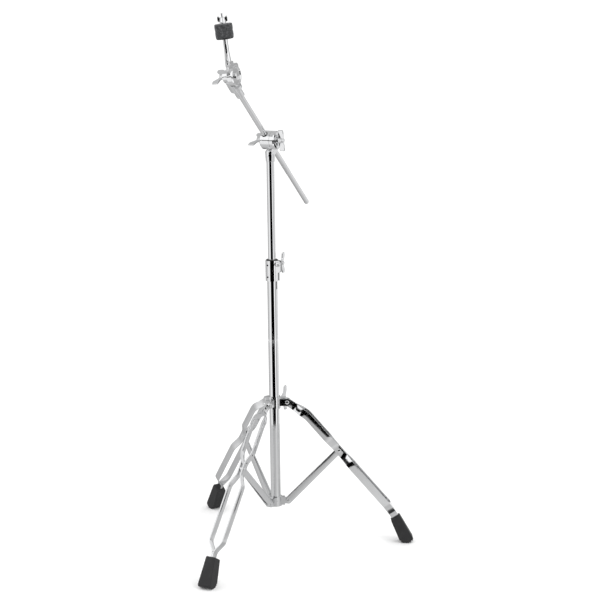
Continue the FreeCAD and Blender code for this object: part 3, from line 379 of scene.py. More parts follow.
def bent_line(points, radii, step):
    """Straight runs joined by arcs of the given radii, as evenly spaced points."""
    out = [points[0]]
    for k in range(1, len(points) - 1):
        a, b = unit(points[k - 1] - points[k]), unit(points[k + 1] - points[k])
        half = math.acos(float(np.clip(a @ b, -1, 1))) / 2
        reach = radii[k - 1] / math.tan(half)
        centre = points[k] + unit(a + b) * radii[k - 1] / math.sin(half)
        start, end = points[k] + a * reach - centre, points[k] + b * reach - centre
        t = np.linspace(0, 1, 9)[:, None]
        whole = math.pi - 2 * half
        arc = (np.sin((1 - t) * whole) * start + np.sin(t * whole) * end) / math.sin(whole)
        out.extend(list(centre + arc))
    out.append(points[-1])
    out = np.array(out)
    run = np.concatenate([[0], np.cumsum(np.linalg.norm(np.diff(out, axis=0), axis=1))])
    s = np.linspace(0, run[-1], int(run[-1] / step) + 1)
    return np.stack([np.interp(s, run, out[:, k]) for k in range(3)], -1), s


# ------------------------------------------------------------------ tripod

STRAP_W = 0.019
STRAP_T = 0.003
BRACE_W = 0.016
LINK = float(np.linalg.norm(WAIST - LOWER_PIVOT))
KNEE = np.array([0.084, 0.0, UPPER_PIVOT[2] - 0.0356])
LOWER_SLOPE = math.radians(50.1)
ANKLE_SLOPE = math.radians(59.0)
LOWER_DIR = np.array([math.cos(LOWER_SLOPE), 0.0, -math.sin(LOWER_SLOPE)])
ANKLE_DIR = np.array([math.cos(ANKLE_SLOPE), 0.0, -math.sin(ANKLE_SLOPE)])
SOLE_R = 0.023
SOLE_Z = SOLE_R - 0.0005
FOOT_TOP_Z = SOLE_Z + 0.0444
ANKLE = WAIST + LOWER_DIR * ((WAIST[2] - FOOT_TOP_Z - 0.042 * math.sin(ANKLE_SLOPE)) / math.sin(LOWER_SLOPE))
FOOT_TOP = ANKLE + ANKLE_DIR * 0.042
SOLE = np.array([FOOT_TOP[0] + 0.0274, 0.0, SOLE_Z])


def strap_surface(line, s, sideways, width, thick, edge):
    """A flat bar carried along a line, with round ends: half width = sqrt(r*r - (r - s)*(r - s)) near them."""
    path = line + np.outer(sideways, [0.0, 1.0, 0.0])
    tangent = unit(np.gradient(path, axis=0))
    flat_tangent = tangent * [1.0, 0.0, 1.0]
    wide = unit(np.stack([-flat_tangent[:, 2], flat_tangent[:, 1] * 0, flat_tangent[:, 0]], -1))
    thin = np.cross(wide, tangent)
    r = width / 2
    from_end = np.minimum(s, s[-1] - s)
    scale = np.sqrt(np.clip(1 - (np.clip(r - from_end, 0, r) / r) ** 2, 0.0004, 1))
    return path, wide, thin, rounded_bar(width, thick, edge), scale


def end_spacing(s, r):
    """Adds stations close to both ends, where a round end narrows fast."""
    extra = r * (1 - np.cos(np.linspace(0, math.pi / 2, 9)))
    keep = s[(s > r) & (s < s[-1] - r)]
    return np.unique(np.concatenate([extra, keep, s[-1] - extra]))


def leg_strap_surface(side):
    sizes = bpy.context.scene.stand_sizes
    r = STRAP_W / 2
    top, end = UPPER_PIVOT, FOOT_TOP + ANKLE_DIR * 0.032
    first, last = unit(KNEE - top), ANKLE_DIR
    corners = [top - first * r, KNEE, ANKLE, end + last * r]
    line, s = bent_line(corners, [0.060, 0.040], 0.002)
    at = end_spacing(s, r)
    line = np.stack([np.interp(at, s, line[:, k]) for k in range(3)], -1)
    # distances along the line of the places where the strap leans in or out
    knee_s = at[np.argmin(np.linalg.norm(line - KNEE, axis=1))]
    waist_s = at[np.argmin(np.linalg.norm(line - WAIST, axis=1))]
    ankle_s = at[np.argmin(np.linalg.norm(line - ANKLE, axis=1))]
    near, high, low, waist = STRAP_T / 2, 0.015, 0.018, 0.0048
    knots = [0, r + 0.024, r + 0.046, knee_s, waist_s - 0.044, waist_s - 0.017, waist_s + 0.017,
             waist_s + 0.044, ankle_s, ankle_s + 0.004, ankle_s + 0.028, at[-1]]
    values = [near, near, high, high, high, waist, waist, low, low, low, near, near]
    sideways = side * box_smoothed(at, knots, values, sizes.bend_softness)
    return strap_surface(line, at, sideways, STRAP_W, STRAP_T, sizes.strap_edge)


def brace_strap_surface(side):
    sizes = bpy.context.scene.stand_sizes
    r = BRACE_W / 2
    along = unit(WAIST - LOWER_PIVOT)
    at = end_spacing(np.linspace(0, LINK + 2 * r, 110), r)
    line = LOWER_PIVOT + np.outer(at - r, along)
    sideways = side * box_smoothed(at, [0, r + 0.014, r + LINK - 0.022, at[-1]],
                                   [0.0048, 0.0048, STRAP_T / 2, STRAP_T / 2], sizes.bend_softness)
    return strap_surface(line, at, sideways, BRACE_W, STRAP_T, sizes.strap_edge)


class STAND_OT_straps(bpy.types.Operator):
    """Bends the twelve flat straps of the tripod"""
    bl_idname = "stand.straps"
    bl_label = "Straps"

    def execute(self, context):
        for leg, degrees in LEGS.items():
            for part, maker in (("leg", leg_strap_surface), ("brace", brace_strap_surface)):
                for side_name, side in (("left", 1.0), ("right", -1.0)):
                    path, wide, thin, section, scale = maker(side)
                    strap = Surface()
                    strap.swept(to_leg(path, degrees), to_leg(wide, degrees), to_leg(thin, degrees),
                                section, scale)
                    node = "%s_%s_strap_%s" % (leg, part, side_name)
                    piece(node + "_bent", strap, "%s_%s" % (leg, part), "strap_chrome", [node])
        return {"FINISHED"}


def rivet_points(surface, middle, axis, half_length):
    turn = np.linspace(0, math.pi / 2, 9)
    dome = np.stack([0.0052 * np.cos(turn) ** 0.8, half_length + 0.00025 + 0.00155 * np.sin(turn)], -1)
    dome[-1, 0] = 0.0
    lip = np.array([[0.0049, half_length], [0.0052, half_length + 0.0001]])
    half = np.vstack([[[0.003, 0.0], [0.003, half_length]], lip, dome])
    whole = np.vstack([(half * [1, -1])[::-1], half[1:]])
    surface.turned(whole, middle, axis, 32)


class STAND_OT_rivets(bpy.types.Operator):
    """Turns the domed rivets of the tripod's pivots"""
    bl_idname = "stand.rivets"
    bl_label = "Rivets"

    def execute(self, context):
        upper, lower = Surface(), Surface()
        for leg, degrees in LEGS.items():
            axis = to_leg(np.array([0.0, 1.0, 0.0]), degrees)
            waist = Surface()
            rivet_points(waist, to_leg(WAIST, degrees), axis, 0.0063)
            piece(leg + "_waist_rivet_domed", waist, leg + "_leg", "chrome", [leg + "_waist_rivet"])
            rivet_points(upper, to_leg(UPPER_PIVOT, degrees), axis, 0.0079)
            rivet_points(lower, to_leg(LOWER_PIVOT, degrees), axis, 0.0066)
        piece("leg_pivot_rivets_domed", upper, "leg_collar", "chrome", ["leg_pivot_rivets"])
        piece("brace_pivot_rivets_domed", lower, "base", "chrome", ["brace_pivot_rivets"])
        return {"FINISHED"}


def foot_outline(steps=360):
    """Side outline of a foot about its sole's middle: the nearest of two leaning sides, the top and the
    ribbed round sole, r = min(side, side, top, sole), with the sole's radius dipping in each groove."""
    angle = np.arange(steps) * 2 * math.pi / steps - math.pi / 2
    ray = np.stack([np.cos(angle), np.sin(angle)], -1)
    lean = unit(np.array([0.0274, -0.0444]))
    across = np.array([-lean[1], lean[0]])
    top = (FOOT_TOP - SOLE)[[0, 2]]
    inner_dir = np.array([math.cos(math.radians(67.5)), -math.sin(math.radians(67.5))])
    outer_dir = np.array([math.cos(math.radians(61.1)), -math.sin(math.radians(61.1))])
    walls = [(top - across * 0.0135, np.array([inner_dir[1], -inner_dir[0]])),
             (top + across * 0.0135, np.array([-outer_dir[1], outer_dir[0]])),
             (top, -lean)]
    r = np.full(steps, 1.0)
    for point, normal in walls:
        if normal @ point < 0:
            normal = -normal
        facing = ray @ normal
        r = np.minimum(r, np.where(facing > 1e-6, (normal @ point) / np.where(facing > 1e-6, facing, 1), 1.0))
    turn = np.degrees((angle + math.pi / 2 + math.pi) % (2 * math.pi) - math.pi)
    groove = np.zeros(steps)
    for k in (-2.5, -1.5, -0.5, 0.5, 1.5, 2.5, 3.5, 4.5):
        groove = np.maximum(groove, np.clip(1.35 - np.abs(turn - k * 16.0) / 3.4, 0, 1))
    sole = np.where(ray[:, 1] < 0.02, SOLE_R - 0.0028 * groove, 1.0)
    r = np.minimum(r, sole)
    return ray * r[:, None], lean


class STAND_OT_feet(bpy.types.Operator):
    """Moulds the three ribbed rubber feet"""
    bl_idname = "stand.feet"
    bl_label = "Feet"

    def execute(self, context):
        outline, lean = foot_outline()
        soft = np.stack([np.roll(outline, k, 0) for k in (-1, 0, 1)]).mean(0)
        length = float(np.linalg.norm((SOLE - FOOT_TOP)[[0, 2]])) + SOLE_R
        middle = soft.mean(0)
        rounding = np.linspace(0.2, math.pi / 2, 6)
        inset = np.concatenate([np.linspace(0.06, 0.93, 7), 1 - 0.07 * (1 - np.sin(rounding))])
        drop = np.concatenate([np.zeros(7), 0.0016 * (1 - np.cos(rounding))])
        scale = np.concatenate([inset, [1.0, 1.0, 1.0], inset[::-1]])
        back = np.concatenate([drop, [0.3, 0.5, 0.7], drop[::-1]])
        side = np.concatenate([np.full(13, -1.0), [-0.5, 0.0, 0.5], np.full(13, 1.0)])
        flat = middle + (soft - middle)[None] * scale[:, None, None]
        down = (flat + (SOLE - FOOT_TOP)[[0, 2]]) @ lean
        half = np.interp(down, [0.0, length], [0.0128, 0.018])
        edge = np.where(np.abs(side) == 1.0, 1.0, 0.0)[:, None]
        y = side[:, None] * (half - edge * back[:, None])
        grid = np.stack([flat[..., 0] + SOLE[0], y, flat[..., 1] + SOLE[2]], -1)
        grid[..., 2] = np.maximum(grid[..., 2], 0.0)
        poles = np.stack([grid[0].mean(0), grid[-1].mean(0)])
        for leg, degrees in LEGS.items():
            foot = Surface()
            foot.tube(to_leg(grid.reshape(-1, 3), degrees).reshape(grid.shape), to_leg(poles, degrees))
            piece(leg + "_foot_moulded", foot, leg + "_leg", "rubber", [leg + "_foot"])
        return {"FINISHED"}


# ------------------------------------------------------------------ tubes and rods


class STAND_OT_tubes(bpy.types.Operator):
    """Draws the lower and upper tube and the boom rod with its knurled tail"""
    bl_idname = "stand.tubes"
    bl_label = "Tubes"

    def execute(self, context):
        low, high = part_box("base_tube")
        outer, wall = 0.0127, 0.0015
        slot_middle, slot_low = math.radians(-29.0), high[2] - 0.074
        columns = 96
        turn = slot_middle + (np.arange(columns) + 0.5) * 2 * math.pi / columns
        heights = np.concatenate([np.linspace(low[2], slot_low, 60), np.linspace(slot_low, high[2], 12)[1:]])
        # outer and inner skin, one row list that goes up outside and down inside
        radius = np.concatenate([np.full(len(heights), outer), np.full(len(heights), outer - wall)])
        level = np.concatenate([heights, heights[::-1]])
        grid = np.stack([radius[:, None] * np.cos(turn), radius[:, None] * np.sin(turn),
                         np.broadcast_to(level[:, None], (len(level), columns))], -1)
        # the slot: five columns are left out above slot_low, then its two sides and its end are closed
        rows = len(level)
        quads = grid_faces(rows, columns, True, True)
        span = [columns - 3, columns - 2, columns - 1, 0, 1, 2]
        in_span = np.isin(quads % columns, span).all(1)
        above = (level[quads // columns] > slot_low - 1e-9).all(1)
        first = int(np.argmin(np.abs(heights - slot_low)))
        out = np.arange(first, len(heights) - 1)

        def across_wall(row, row2, column, column2):
            """Quads from the outer skin to the inner one, between two rows and two columns."""
            return np.stack([row * columns + column, row2 * columns + column2,
                             (rows - 1 - row2) * columns + column2, (rows - 1 - row) * columns + column], -1)

        faces = np.vstack([quads[~(in_span & above)],
                           across_wall(out, out + 1, span[-1], span[-1]),
                           across_wall(out + 1, out, span[0], span[0]),
                           across_wall(first, first, np.array(span[:-1]), np.array(span[1:]))])
        used = np.unique(faces)
        tube = Surface()
        tube.add(grid.reshape(-1, 3)[used], np.searchsorted(used, faces))
        piece("base_tube_drawn", tube, "base", "chrome", ["base_tube"])

        low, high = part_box("upper_tube")
        tube = Surface()
        r = 0.009525
        tube.turned([[r, low[2]], [r, (low[2] + high[2]) / 2], [r, high[2]], [r - 0.0013, high[2]],
                     [r - 0.0013, low[2]]], np.zeros(3), UP, 96)
        piece("upper_tube_drawn", tube, "upper_tube", "chrome", ["upper_tube"])

        sizes = context.scene.stand_sizes
        tail, knurled = BOOM_MID - BOOM_DIR * 0.267, 0.130
        turn = np.arange(72) * 2 * math.pi / 72
        side = TILT_AXIS
        up = np.cross(BOOM_DIR, side)
        along = np.concatenate([np.linspace(0.0012, knurled, 250), np.linspace(knurled + 0.0006, 0.470, 40)])
        pitch = sizes.knurl_pitch
        tail_r, boom_r = 0.0060, 0.00635
        around = turn[None] * tail_r
        one = np.abs(((along[:, None] + around) / pitch) % 1 - 0.5) * 2
        two = np.abs(((along[:, None] - around) / pitch) % 1 - 0.5) * 2
        cut = np.where(along[:, None] < knurled, 0.00022 * np.minimum(one, two), 0.0)
        radius = np.where(along[:, None] < knurled, tail_r, boom_r) - cut
        ring = np.cos(turn)[:, None] * side + np.sin(turn)[:, None] * up
        grid = tail + BOOM_DIR * along[:, None, None] + ring[None] * radius[..., None]
        lead_along, lead_radius = np.array([0.0, 0.0004]), np.array([0.0052, 0.0058])
        lead = tail + BOOM_DIR * lead_along[:, None, None] + ring[None] * lead_radius[:, None, None]
        rod = Surface()
        rod.tube(np.concatenate([lead, grid]), np.array([tail, tail + BOOM_DIR * 0.470]))
        piece("boom_rod_knurled", rod, "boom_rod", "chrome", ["boom_rod"])

        rod = Surface()
        bottom, tip, top = 0.0615, 0.1395, 0.1475
        along = np.concatenate([[bottom], np.arange(0.1225, tip, 0.00018), [tip + 0.0002]])
        turn = np.arange(32) * 2 * math.pi / 32
        thread = np.abs(((along[:, None] - turn[None] / (2 * math.pi) * 0.001) / 0.001) % 1 - 0.5) * 2
        radius = np.where(along[:, None] > 0.1226, 0.003 - 0.00038 * thread, 0.003)
        radius[-1] = 0.0025
        side = TILTER_AXIS
        ring = np.cos(turn)[:, None] * side + np.sin(turn)[:, None] * np.cross(CYMBAL_DIR, side)
        ends = np.array([[0.0025, top - 0.0006], [0.0019, top]])
        end_radius, end_along = ends[:, 0][:, None, None], ends[:, 1][:, None, None]
        grid = np.concatenate([POST + CYMBAL_DIR * along[:, None, None] + ring[None] * radius[..., None],
                               POST + CYMBAL_DIR * end_along + ring[None] * end_radius])
        rod.tube(grid, np.array([POST + CYMBAL_DIR * bottom, POST + CYMBAL_DIR * top]))
        piece("cymbal_rod_threaded", rod, "tilter_head", "chrome", ["cymbal_rod"])
        return {"FINISHED"}


# ------------------------------------------------------------------ wing nuts


def smooth_loop(corners, steps, window):
    """A closed polygon walked at even spacing and averaged over a window, which rounds its corners."""
    ring = np.vstack([corners, corners[:1]])
    run = np.concatenate([[0], np.cumsum(np.linalg.norm(np.diff(ring, axis=0), axis=1))])
    s = np.linspace(0, run[-1], steps, endpoint=False)
    out = 0
    for offset in np.linspace(-window / 2, window / 2, 9):
        at = (s + offset) % run[-1]
        out = out + np.stack([np.interp(at, run, ring[:, k]) for k in range(2)], -1)
    return out / 9


def wing_blade(hub_r, hub_h, reach, lift, width, thick):
    """A blade as its rounded outline, inset towards its own middle as it nears each face:
    inset = e*(1 - cos(v)), thickness = t(x)*sin(v), with v from -90 to 90 degrees."""
    corners = np.array([(0.0, 0.0006), (hub_r, 0.0006 + lift * 0.35), (reach * 0.45, lift * 0.85), (reach, lift),
                        (reach + 0.0004, lift + width), (reach * 0.66, lift + width + 0.0004),
                        (hub_r * 0.8, hub_h), (0.0, hub_h)])
    loop = smooth_loop(corners, 56, 0.0045)
    middle = loop.mean(0)
    v = np.linspace(-math.pi / 2, math.pi / 2, 11)
    pull = np.cos(v) ** 0.55
    body = middle + (loop - middle)[None] * (0.80 + 0.20 * pull[:, None, None])
    inner = middle + (loop - middle)[None] * 0.45
    body = np.concatenate([inner, body, inner])
    half = thick / 2 * np.interp(body[..., 0], [0.0, reach * 0.5, reach], [1.25, 0.95, 0.72])
    y = np.concatenate([[-1.0], np.sin(v), [1.0]])[:, None] * half
    y[0] *= 0.93
    y[-1] *= 0.93
    grid = np.stack([body[..., 0], y, body[..., 1]], -1)
    poles = np.array([[middle[0], y[0].mean(), middle[1]], [middle[0], y[-1].mean(), middle[1]]])
    return grid, poles


def wing_head(surface, place, wing_dir, axis, hub_r, hub_h, reach, lift, width, thick, bore=None):
    """Hub and two blades, carried to a place with its wings along wing_dir and its seat facing -axis."""
    wing_dir, axis = unit(wing_dir), unit(axis)
    m = np.stack([wing_dir, np.cross(axis, wing_dir), axis])
    r, h = hub_r, hub_h
    outer = np.array([(r * 0.9, 0.0), (r, r * 0.06), (r, h * 0.30), (r * 0.955, h * 0.42), (r * 0.88, h * 0.62),
                      (r * 0.80, h * 0.86), (r * 0.74, h * 0.97), (r * 0.66, h)])
    if bore:
        profile = np.vstack([outer, [(bore + 0.0004, h), (bore, h - 0.0006), (bore, 0.0)]])
    else:
        profile = np.vstack([[(0.0, 0.0)], outer, [(r * 0.3, h + 0.0004), (0.0, h + 0.0005)]])
    surface.turned(profile, place, axis, 40, wing_dir)
    grid, poles = wing_blade(hub_r, hub_h, reach, lift, width, thick)
    for turn in (1.0, -1.0):
        flip = np.array([turn, turn, 1.0])
        surface.tube((grid * flip) @ m + place, (poles * flip) @ m + place)


def turned_about(v, axis, degrees):
    """A direction turned about an axis."""
    return np.array(Matrix.Rotation(math.radians(degrees), 3, Vector(axis)) @ Vector(v))


class STAND_OT_wing_nuts(bpy.types.Operator):
    """Casts the wing nuts and wing screws"""
    bl_idname = "stand.wing_nuts"
    bl_label = "Wing nuts"

    def execute(self, context):
        thick = context.scene.stand_sizes.wing_thickness
        collar_at, collar_dir = joint_place("collar_screw_spin"), joint_axis("collar_screw_spin")
        nut_at, nut_dir = joint_place("height_nut_spin"), joint_axis("height_nut_spin")
        droop = unit(-(UP - TILTER_AXIS * (UP @ TILTER_AXIS)))
        level = unit(np.cross(TILTER_AXIS, UP))
        tilter_wing = level * math.cos(math.radians(38)) + droop * math.sin(math.radians(38))
        lock_wing = FORWARD * math.cos(math.radians(26)) - UP * math.sin(math.radians(26))
        makers = [
            ("collar_wing_screw", "collar_screw", collar_at + collar_dir * 0.0243, UP, collar_dir,
             (0.0065, 0.020, 0.032, 0.015, 0.010), None),
            ("height_wing_nut", "height_nut", nut_at + nut_dir * 0.0085, UP, nut_dir,
             (0.0062, 0.013, 0.026, 0.0088, 0.011), 0.0030),
            ("boom_wing_nut", "boom_nut", CLUTCH + TILT_AXIS * 0.02395,
             turned_about(UP, TILT_AXIS, 9.0), TILT_AXIS, (0.0076, 0.015, 0.0265, 0.0018, 0.014), 0.0040),
            ("boom_lock_screw", "boom_lock", CLUTCH - TILT_AXIS * 0.0233, lock_wing, -TILT_AXIS,
             (0.008, 0.012, 0.028, 0.0095, 0.016), None),
            ("tilter_wing_nut", "tilter_nut", TILTER - TILTER_AXIS * 0.0103, tilter_wing, -TILTER_AXIS,
             (0.0072, 0.012, 0.025, 0.010, 0.016), 0.0040),
            ("cymbal_wing_nut", "cymbal_nut", POST + CYMBAL_DIR * 0.1246,
             turned_about(TILTER_AXIS, CYMBAL_DIR, 12.0), CYMBAL_DIR, (0.0076, 0.013, 0.0122, 0.003, 0.0135), 0.0030),
        ]
        for node, body, place, wing_dir, axis, sizes, bore in makers:
            cast = Surface()
            wing_head(cast, place, wing_dir, axis, *sizes, thick, bore)
            piece(node + "_cast", cast, body, "chrome", [node], "cast_chrome")
        return {"FINISHED"}


# ------------------------------------------------------------------ felts


class STAND_OT_felts(bpy.types.Operator):
    """Presses the two felts"""
    bl_idname = "stand.felts"
    bl_label = "Felts"

    def execute(self, context):
        bulge = context.scene.stand_sizes.felt_bulge
        thick, outer, bore = 0.0162, 0.0215, 0.005
        for k, node in enumerate(("lower_felt", "upper_felt")):
            low = 0.0905 + k * thick
            t = np.linspace(0, 1, 25)
            edge = 0.0012
            side_h = edge + (thick - 2 * edge) * t
            side_r = outer - 0.0005 + bulge * np.sin(math.pi * t)
            turn = np.linspace(0, math.pi / 2, 8)[:-1]
            edge_r = side_r[0] - edge + edge * np.sin(turn)
            low_edge = np.stack([edge_r, edge - edge * np.cos(turn) + 0.0001], -1)
            high_edge = np.stack([edge_r, thick - edge + edge * np.cos(turn) - 0.0001], -1)[::-1]
            face = np.linspace(bore, side_r[0] - edge, 12)
            profile = np.vstack([
                np.stack([face[:-1], np.full(11, 0.0001)], -1), low_edge,
                np.stack([side_r, side_h], -1), high_edge,
                np.stack([face[::-1][1:], np.full(11, thick - 0.0001)], -1)])
            steps = 144
            a = np.arange(steps) * 2 * math.pi / steps
            # the pressed side wanders a little: a sum of two waves round the felt
            wander = (np.sin(3 * a + k) * 0.00006 + np.sin(7 * a + 2.1 + k) * 0.00004)
            ring = np.cos(a)[:, None] * TILTER_AXIS + np.sin(a)[:, None] * np.cross(CYMBAL_DIR, TILTER_AXIS)
            weight = np.clip((profile[:, 0] - bore) / (outer - bore), 0, 1)
            radius = profile[:, :1] + wander[None] * weight[:, None]
            fuzz = np.random.default_rng(11 + k).normal(0, 0.00002, radius.shape)
            radius = radius + fuzz * weight[:, None]
            grid = POST + CYMBAL_DIR * (low + profile[:, 1])[:, None, None] + ring[None] * radius[..., None]
            felt = Surface()
            felt.tube(grid, round_rows=True)
            made = piece(node + "_pressed", felt, "tilter_head", "felt", [node], smooth=80.0)
        return {"FINISHED"}


# ------------------------------------------------------------------ cast and machined bodies


def eased(node, width, paint=None):
    """A merged copy of a node whose sharp edges are eased to a small radius, as casting and plating leave them."""
    body = next(name for name, nodes in frame["record"]["behaviour"]["bodies"].items() if node in nodes)
    slots = {part["node"]: part["material_slot"] for part in frame["record"]["subparts"]}
    mesh = frame["nodes"][node].data.copy()
    mesh.name = node + "_eased"
    work = bmesh.new()
    work.from_mesh(mesh)
    bmesh.ops.remove_doubles(work, verts=work.verts, dist=2e-6)
    bmesh.ops.dissolve_limit(work, angle_limit=math.radians(0.6), verts=work.verts, edges=work.edges,
                             delimit={"NORMAL"})
    work.to_mesh(mesh)
    work.free()
    mesh.polygons.foreach_set("use_smooth", np.ones(len(mesh.polygons), bool))
    obj = bpy.data.objects.new(node + "_eased", mesh)
    bpy.context.scene.collection.objects.link(obj)
    bevel = obj.modifiers.new("eased", "BEVEL")
    bevel.width, bevel.segments, bevel.limit_method, bevel.angle_limit = width, 3, "ANGLE", math.radians(32)
    bevel.miter_outer = "MITER_ARC"
    bevel.use_clamp_overlap = True
    weighted = obj.modifiers.new("weighted", "WEIGHTED_NORMAL")
    weighted.weight = 80
    mesh.materials.clear()
    mesh.materials.append(finish_for(paint or slots[node]))
    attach(obj, body)
    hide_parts(node)
    return obj


class STAND_OT_castings(bpy.types.Operator):
    """Eases the edges of the collars, the clamp, the boom joint and the tilter"""
    bl_idname = "stand.castings"
    bl_label = "Castings"

    def execute(self, context):
        for node, width in (("leg_collar", 0.0008), ("brace_collar", 0.0008), ("height_clamp", 0.0008),
                            ("boom_base", 0.0012), ("boom_hub", 0.0012), ("tilter_base", 0.0012),
                            ("tilter_head", 0.0011)):
            eased(node, width, "cast_chrome")
        for node, width in (("height_clamp_bolt", 0.0003), ("tilter_bolt", 0.0005), ("boom_nut_washer", 0.0003),
                            ("top_washer", 0.0002), ("height_clamp_washer", 0.0002)):
            eased(node, width)
        return {"FINISHED"}


# ------------------------------------------------------------------ plated and plastic nodes kept as they are


class STAND_OT_finishes(bpy.types.Operator):
    """Gives every node of the frame its plated, rubber or plastic finish"""
    bl_idname = "stand.finishes"
    bl_label = "Finishes"

    def execute(self, context):
        cast = {"leg_collar", "brace_collar", "height_clamp", "boom_base", "boom_hub", "tilter_base", "tilter_head"}
        slots = {part["node"]: part["material_slot"] for part in frame["record"]["subparts"]}
        for node, obj in frame["nodes"].items():
            slot = "cast_chrome" if node in cast else slots[node]
            obj.data.materials.clear()
            obj.data.materials.append(finish_for(slot))
        return {"FINISHED"}


# ------------------------------------------------------------------ stage


def glow(name, stops_of, source):
    material = bpy.data.materials.new(name)
    material.use_nodes = True
    nodes, links = material.node_tree.nodes, material.node_tree.links
    nodes.clear()
    place = nodes.new("ShaderNodeTexCoord").outputs["Object"]
    light = nodes.new("ShaderNodeEmission")
    out = nodes.new("ShaderNodeOutputMaterial")
    links.new(light.outputs[0], out.inputs["Surface"])
    fac = source(nodes, links, place)
    links.new(ramp(nodes, links, fac, stops_of), light.inputs["Color"])
    return material


def bearing(nodes, links, place):
    """Angle round the stand, from 0 at the back, through 0.25 on the left and 0.5 in front, to 1."""
    parts = nodes.new("ShaderNodeSeparateXYZ")
    links.new(place, parts.inputs[0])
    angle = nodes.new("ShaderNodeMath")
    angle.operation = "ARCTAN2"
    flip = nodes.new("ShaderNodeMath")
    flip.operation = "MULTIPLY"
    flip.inputs[1].default_value = -1.0
    links.new(parts.outputs["Y"], flip.inputs[0])
    links.new(parts.outputs["X"], angle.inputs[0])
    links.new(flip.outputs[0], angle.inputs[1])
    share = nodes.new("ShaderNodeMath")
    share.operation = "MULTIPLY_ADD"
    share.inputs[1].default_value = 0.5 / math.pi
    share.inputs[2].default_value = 0.5
    links.new(angle.outputs[0], share.inputs[0])
    return share.outputs[0]


def grey(value):
    return (value, value, value * 1.005)


# Brightness of the studio's wall by degrees right of the front, at three heights. The dark gap in front
# is where the studio is open; the bright bands beside it are softboxes.
WALL_BANDS = [
    (0.0, 0.80, [(-180, 0.05), (-163, 0.06), (-157, 0.50), (-128, 0.50), (-92, 0.66), (-62, 0.98), (-40, 1.0),
                 (-33, 0.0), (34, 0.0), (38, 1.30), (52, 1.30), (58, 0.42), (72, 0.44), (88, 0.68),
                 (128, 0.86), (157, 0.72), (163, 0.06), (180, 0.05)]),
    (0.80, 1.16, [(-180, 0.35), (-128, 0.50), (-92, 0.66), (-64, 0.9), (-60, 0.0), (36, 0.0), (40, 1.2),
                  (56, 1.1), (62, 0.45), (90, 0.68), (128, 0.8), (180, 0.35)]),
    (1.16, 3.20, [(-180, 0.62), (-120, 0.5), (-90, 0.7), (-70, 1.15), (-14, 1.2), (-6, 0.45), (8, 0.4),
                  (16, 1.15), (70, 1.2), (86, 0.5), (120, 0.45), (180, 0.62)]),
]
FLOOR_NEAR = [(-180, 0.50), (-150, 0.42), (-120, 0.58), (-75, 0.62), (-30, 0.60), (-14, 0.50), (2, 0.48),
              (18, 0.62), (40, 0.74), (62, 0.56), (100, 0.62), (140, 0.5), (180, 0.50)]
CEILING = [(-180, 0.50), (-120, 0.62), (-60, 0.50), (-20, 0.62), (30, 0.72), (70, 0.5), (120, 0.6), (180, 0.50)]


def card(name, mesh_points, faces, material):
    mesh = bpy.data.meshes.new(name)
    mesh.from_pydata(mesh_points, [], faces)
    obj = bpy.data.objects.new(name, mesh)
    bpy.context.scene.collection.objects.link(obj)
    mesh.materials.append(material)
    obj.visible_camera = False
    obj.visible_diffuse = False
    obj.visible_shadow = False
    obj.visible_transmission = False
    obj.visible_volume_scatter = False
    return obj


def by_bearing(bands):
    return [((degrees + 180) / 360, grey(value)) for degrees, value in bands]


def wall_rig():
    """Rings of a round wall, a floor card and a ceiling card, all seen only in reflections."""
    radius, near, steps = 2.3, 1.12, 180
    turn = np.arange(steps) * 2 * math.pi / steps
    ring = np.stack([np.cos(turn), np.sin(turn), np.zeros(steps)], -1)
    for k, (low, high, bands) in enumerate(WALL_BANDS):
        points = np.vstack([ring * radius + [0, 0, low], ring * radius + [0, 0, high]])
        card("softbox_ring_%d" % k, points.tolist(), grid_faces(2, steps).tolist(),
             glow("softbox_glow_%d" % k, by_bearing(bands), bearing))
    spokes = [[k, (k + 1) % steps, steps] for k in range(steps)]
    floor = np.vstack([ring * near + [0, 0, -0.004], [[0, 0, -0.004]]])
    card("floor_card", floor.tolist(), spokes, glow("floor_glow", by_bearing(FLOOR_NEAR), bearing))
    apron = np.vstack([ring * near + [0, 0, -0.004], ring * radius + [0, 0, -0.004]])
    card("apron_card", apron.tolist(), grid_faces(2, steps).tolist(),
         glow("apron_glow", by_bearing(WALL_BANDS[0][2]), bearing))
    top = WALL_BANDS[-1][1]
    ceiling = np.vstack([ring * radius + [0, 0, top], [[0, 0, top]]])
    card("ceiling_card", ceiling.tolist(), spokes, glow("ceiling_glow", by_bearing(CEILING), bearing))


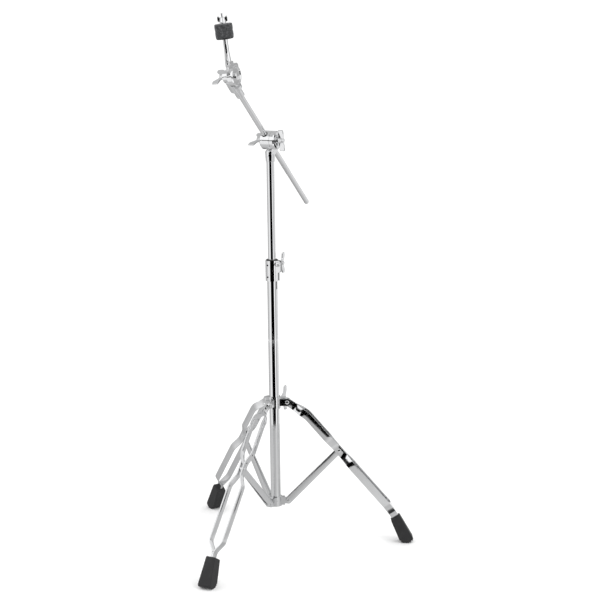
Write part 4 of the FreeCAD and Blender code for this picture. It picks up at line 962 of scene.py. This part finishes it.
class STAND_OT_stage(bpy.types.Operator):
    """Lays the pale floor and sets the light and the camera"""
    bl_idname = "stand.stage"
    bl_label = "Stage"

    def execute(self, context):
        scene = context.scene
        floor = bpy.data.meshes.new("floor")
        floor.from_pydata([(-12, -12, 0), (12, -12, 0), (12, 12, 0), (-12, 12, 0)], [], [(0, 1, 2, 3)])
        obj = bpy.data.objects.new("floor", floor)
        scene.collection.objects.link(obj)
        paper = bpy.data.materials.new("floor_paper")
        paper.use_nodes = True
        nodes, links = paper.node_tree.nodes, paper.node_tree.links
        surface = nodes["Principled BSDF"]
        surface.inputs["Roughness"].default_value = 0.9
        surface.inputs["Specular IOR Level"].default_value = 0.0
        surface.inputs["Base Color"].default_value = (0.97, 0.97, 0.97, 1)
        floor.materials.append(paper)
        obj.visible_glossy = False
        wall_rig()

        world = scene.world or bpy.data.worlds.new("studio")
        scene.world = world
        world.use_nodes = True
        nodes, links = world.node_tree.nodes, world.node_tree.links
        nodes.clear()
        out = nodes.new("ShaderNodeOutputWorld")
        sky = nodes.new("ShaderNodeBackground")
        sky.inputs["Color"].default_value = (1.0, 1.0, 1.0, 1.0)
        sky.inputs["Strength"].default_value = 1.12
        links.new(sky.outputs[0], out.inputs["Surface"])

        key = bpy.data.lights.new("key", "AREA")
        key.shape, key.size, key.size_y, key.energy = "RECTANGLE", 1.6, 1.6, 22.0
        lamp = bpy.data.objects.new("key", key)
        lamp.location = (1.8, -1.6, 3.0)
        lamp.rotation_euler = (Vector((0.1, 0.0, 0.6)) - lamp.location).to_track_quat("-Z", "Y").to_euler()
        lamp.visible_camera = False
        lamp.visible_glossy = False
        scene.collection.objects.link(lamp)

        view = bpy.data.cameras.new("view")
        view.sensor_width, view.lens = 36.0, 96.0
        view.clip_start, view.clip_end = 0.1, 40.0
        yaw, pitch, roll = -0.0175, 0.2087, 0.0129
        ahead = np.array([-math.sin(yaw) * math.cos(pitch), math.cos(yaw) * math.cos(pitch), -math.sin(pitch)])
        right = np.array([math.cos(yaw), math.sin(yaw), 0.0])
        above = np.cross(right, ahead)
        x = right * math.cos(roll) - above * math.sin(roll)
        y = right * math.sin(roll) + above * math.cos(roll)
        camera = bpy.data.objects.new("view", view)
        camera.matrix_world = Matrix([[x[k], y[k], -ahead[k], c] for k, c in
                                      enumerate((0.0, -3.94256, 1.48145))] + [[0, 0, 0, 1]])
        scene.collection.objects.link(camera)
        scene.camera = camera
        scene.view_settings.view_transform = "Standard"
        return {"FINISHED"}


class STAND_PT_panel(bpy.types.Panel):
    """Lists the steps that build the stand"""
    bl_idname = "STAND_PT_panel"
    bl_label = "Cymbal boom stand"
    bl_space_type = "VIEW_3D"
    bl_region_type = "UI"
    bl_category = "Stand"

    def draw(self, context):
        for group in (context.scene.stand_sizes, context.scene.stand_colours):
            for name in group.__annotations__:
                self.layout.prop(group, name)
        for step in STEPS:
            self.layout.operator(step.bl_idname)


STEPS = [STAND_OT_finishes, STAND_OT_straps, STAND_OT_rivets, STAND_OT_feet, STAND_OT_tubes,
         STAND_OT_wing_nuts, STAND_OT_felts, STAND_OT_castings, STAND_OT_stage]
CLASSES = [StandSizes, StandColours, *STEPS, STAND_PT_panel]


def register():
    for cls in CLASSES:
        bpy.utils.register_class(cls)
    bpy.types.Scene.stand_sizes = bpy.props.PointerProperty(type=StandSizes)
    bpy.types.Scene.stand_colours = bpy.props.PointerProperty(type=StandColours)


def unregister():
    del bpy.types.Scene.stand_colours
    del bpy.types.Scene.stand_sizes
    for cls in reversed(CLASSES):
        bpy.utils.unregister_class(cls)


def main():
    register()
    for step in STEPS:
        group, name = step.bl_idname.split(".")
        getattr(getattr(bpy.ops, group), name)()


if __name__ == "__main__":
    main()
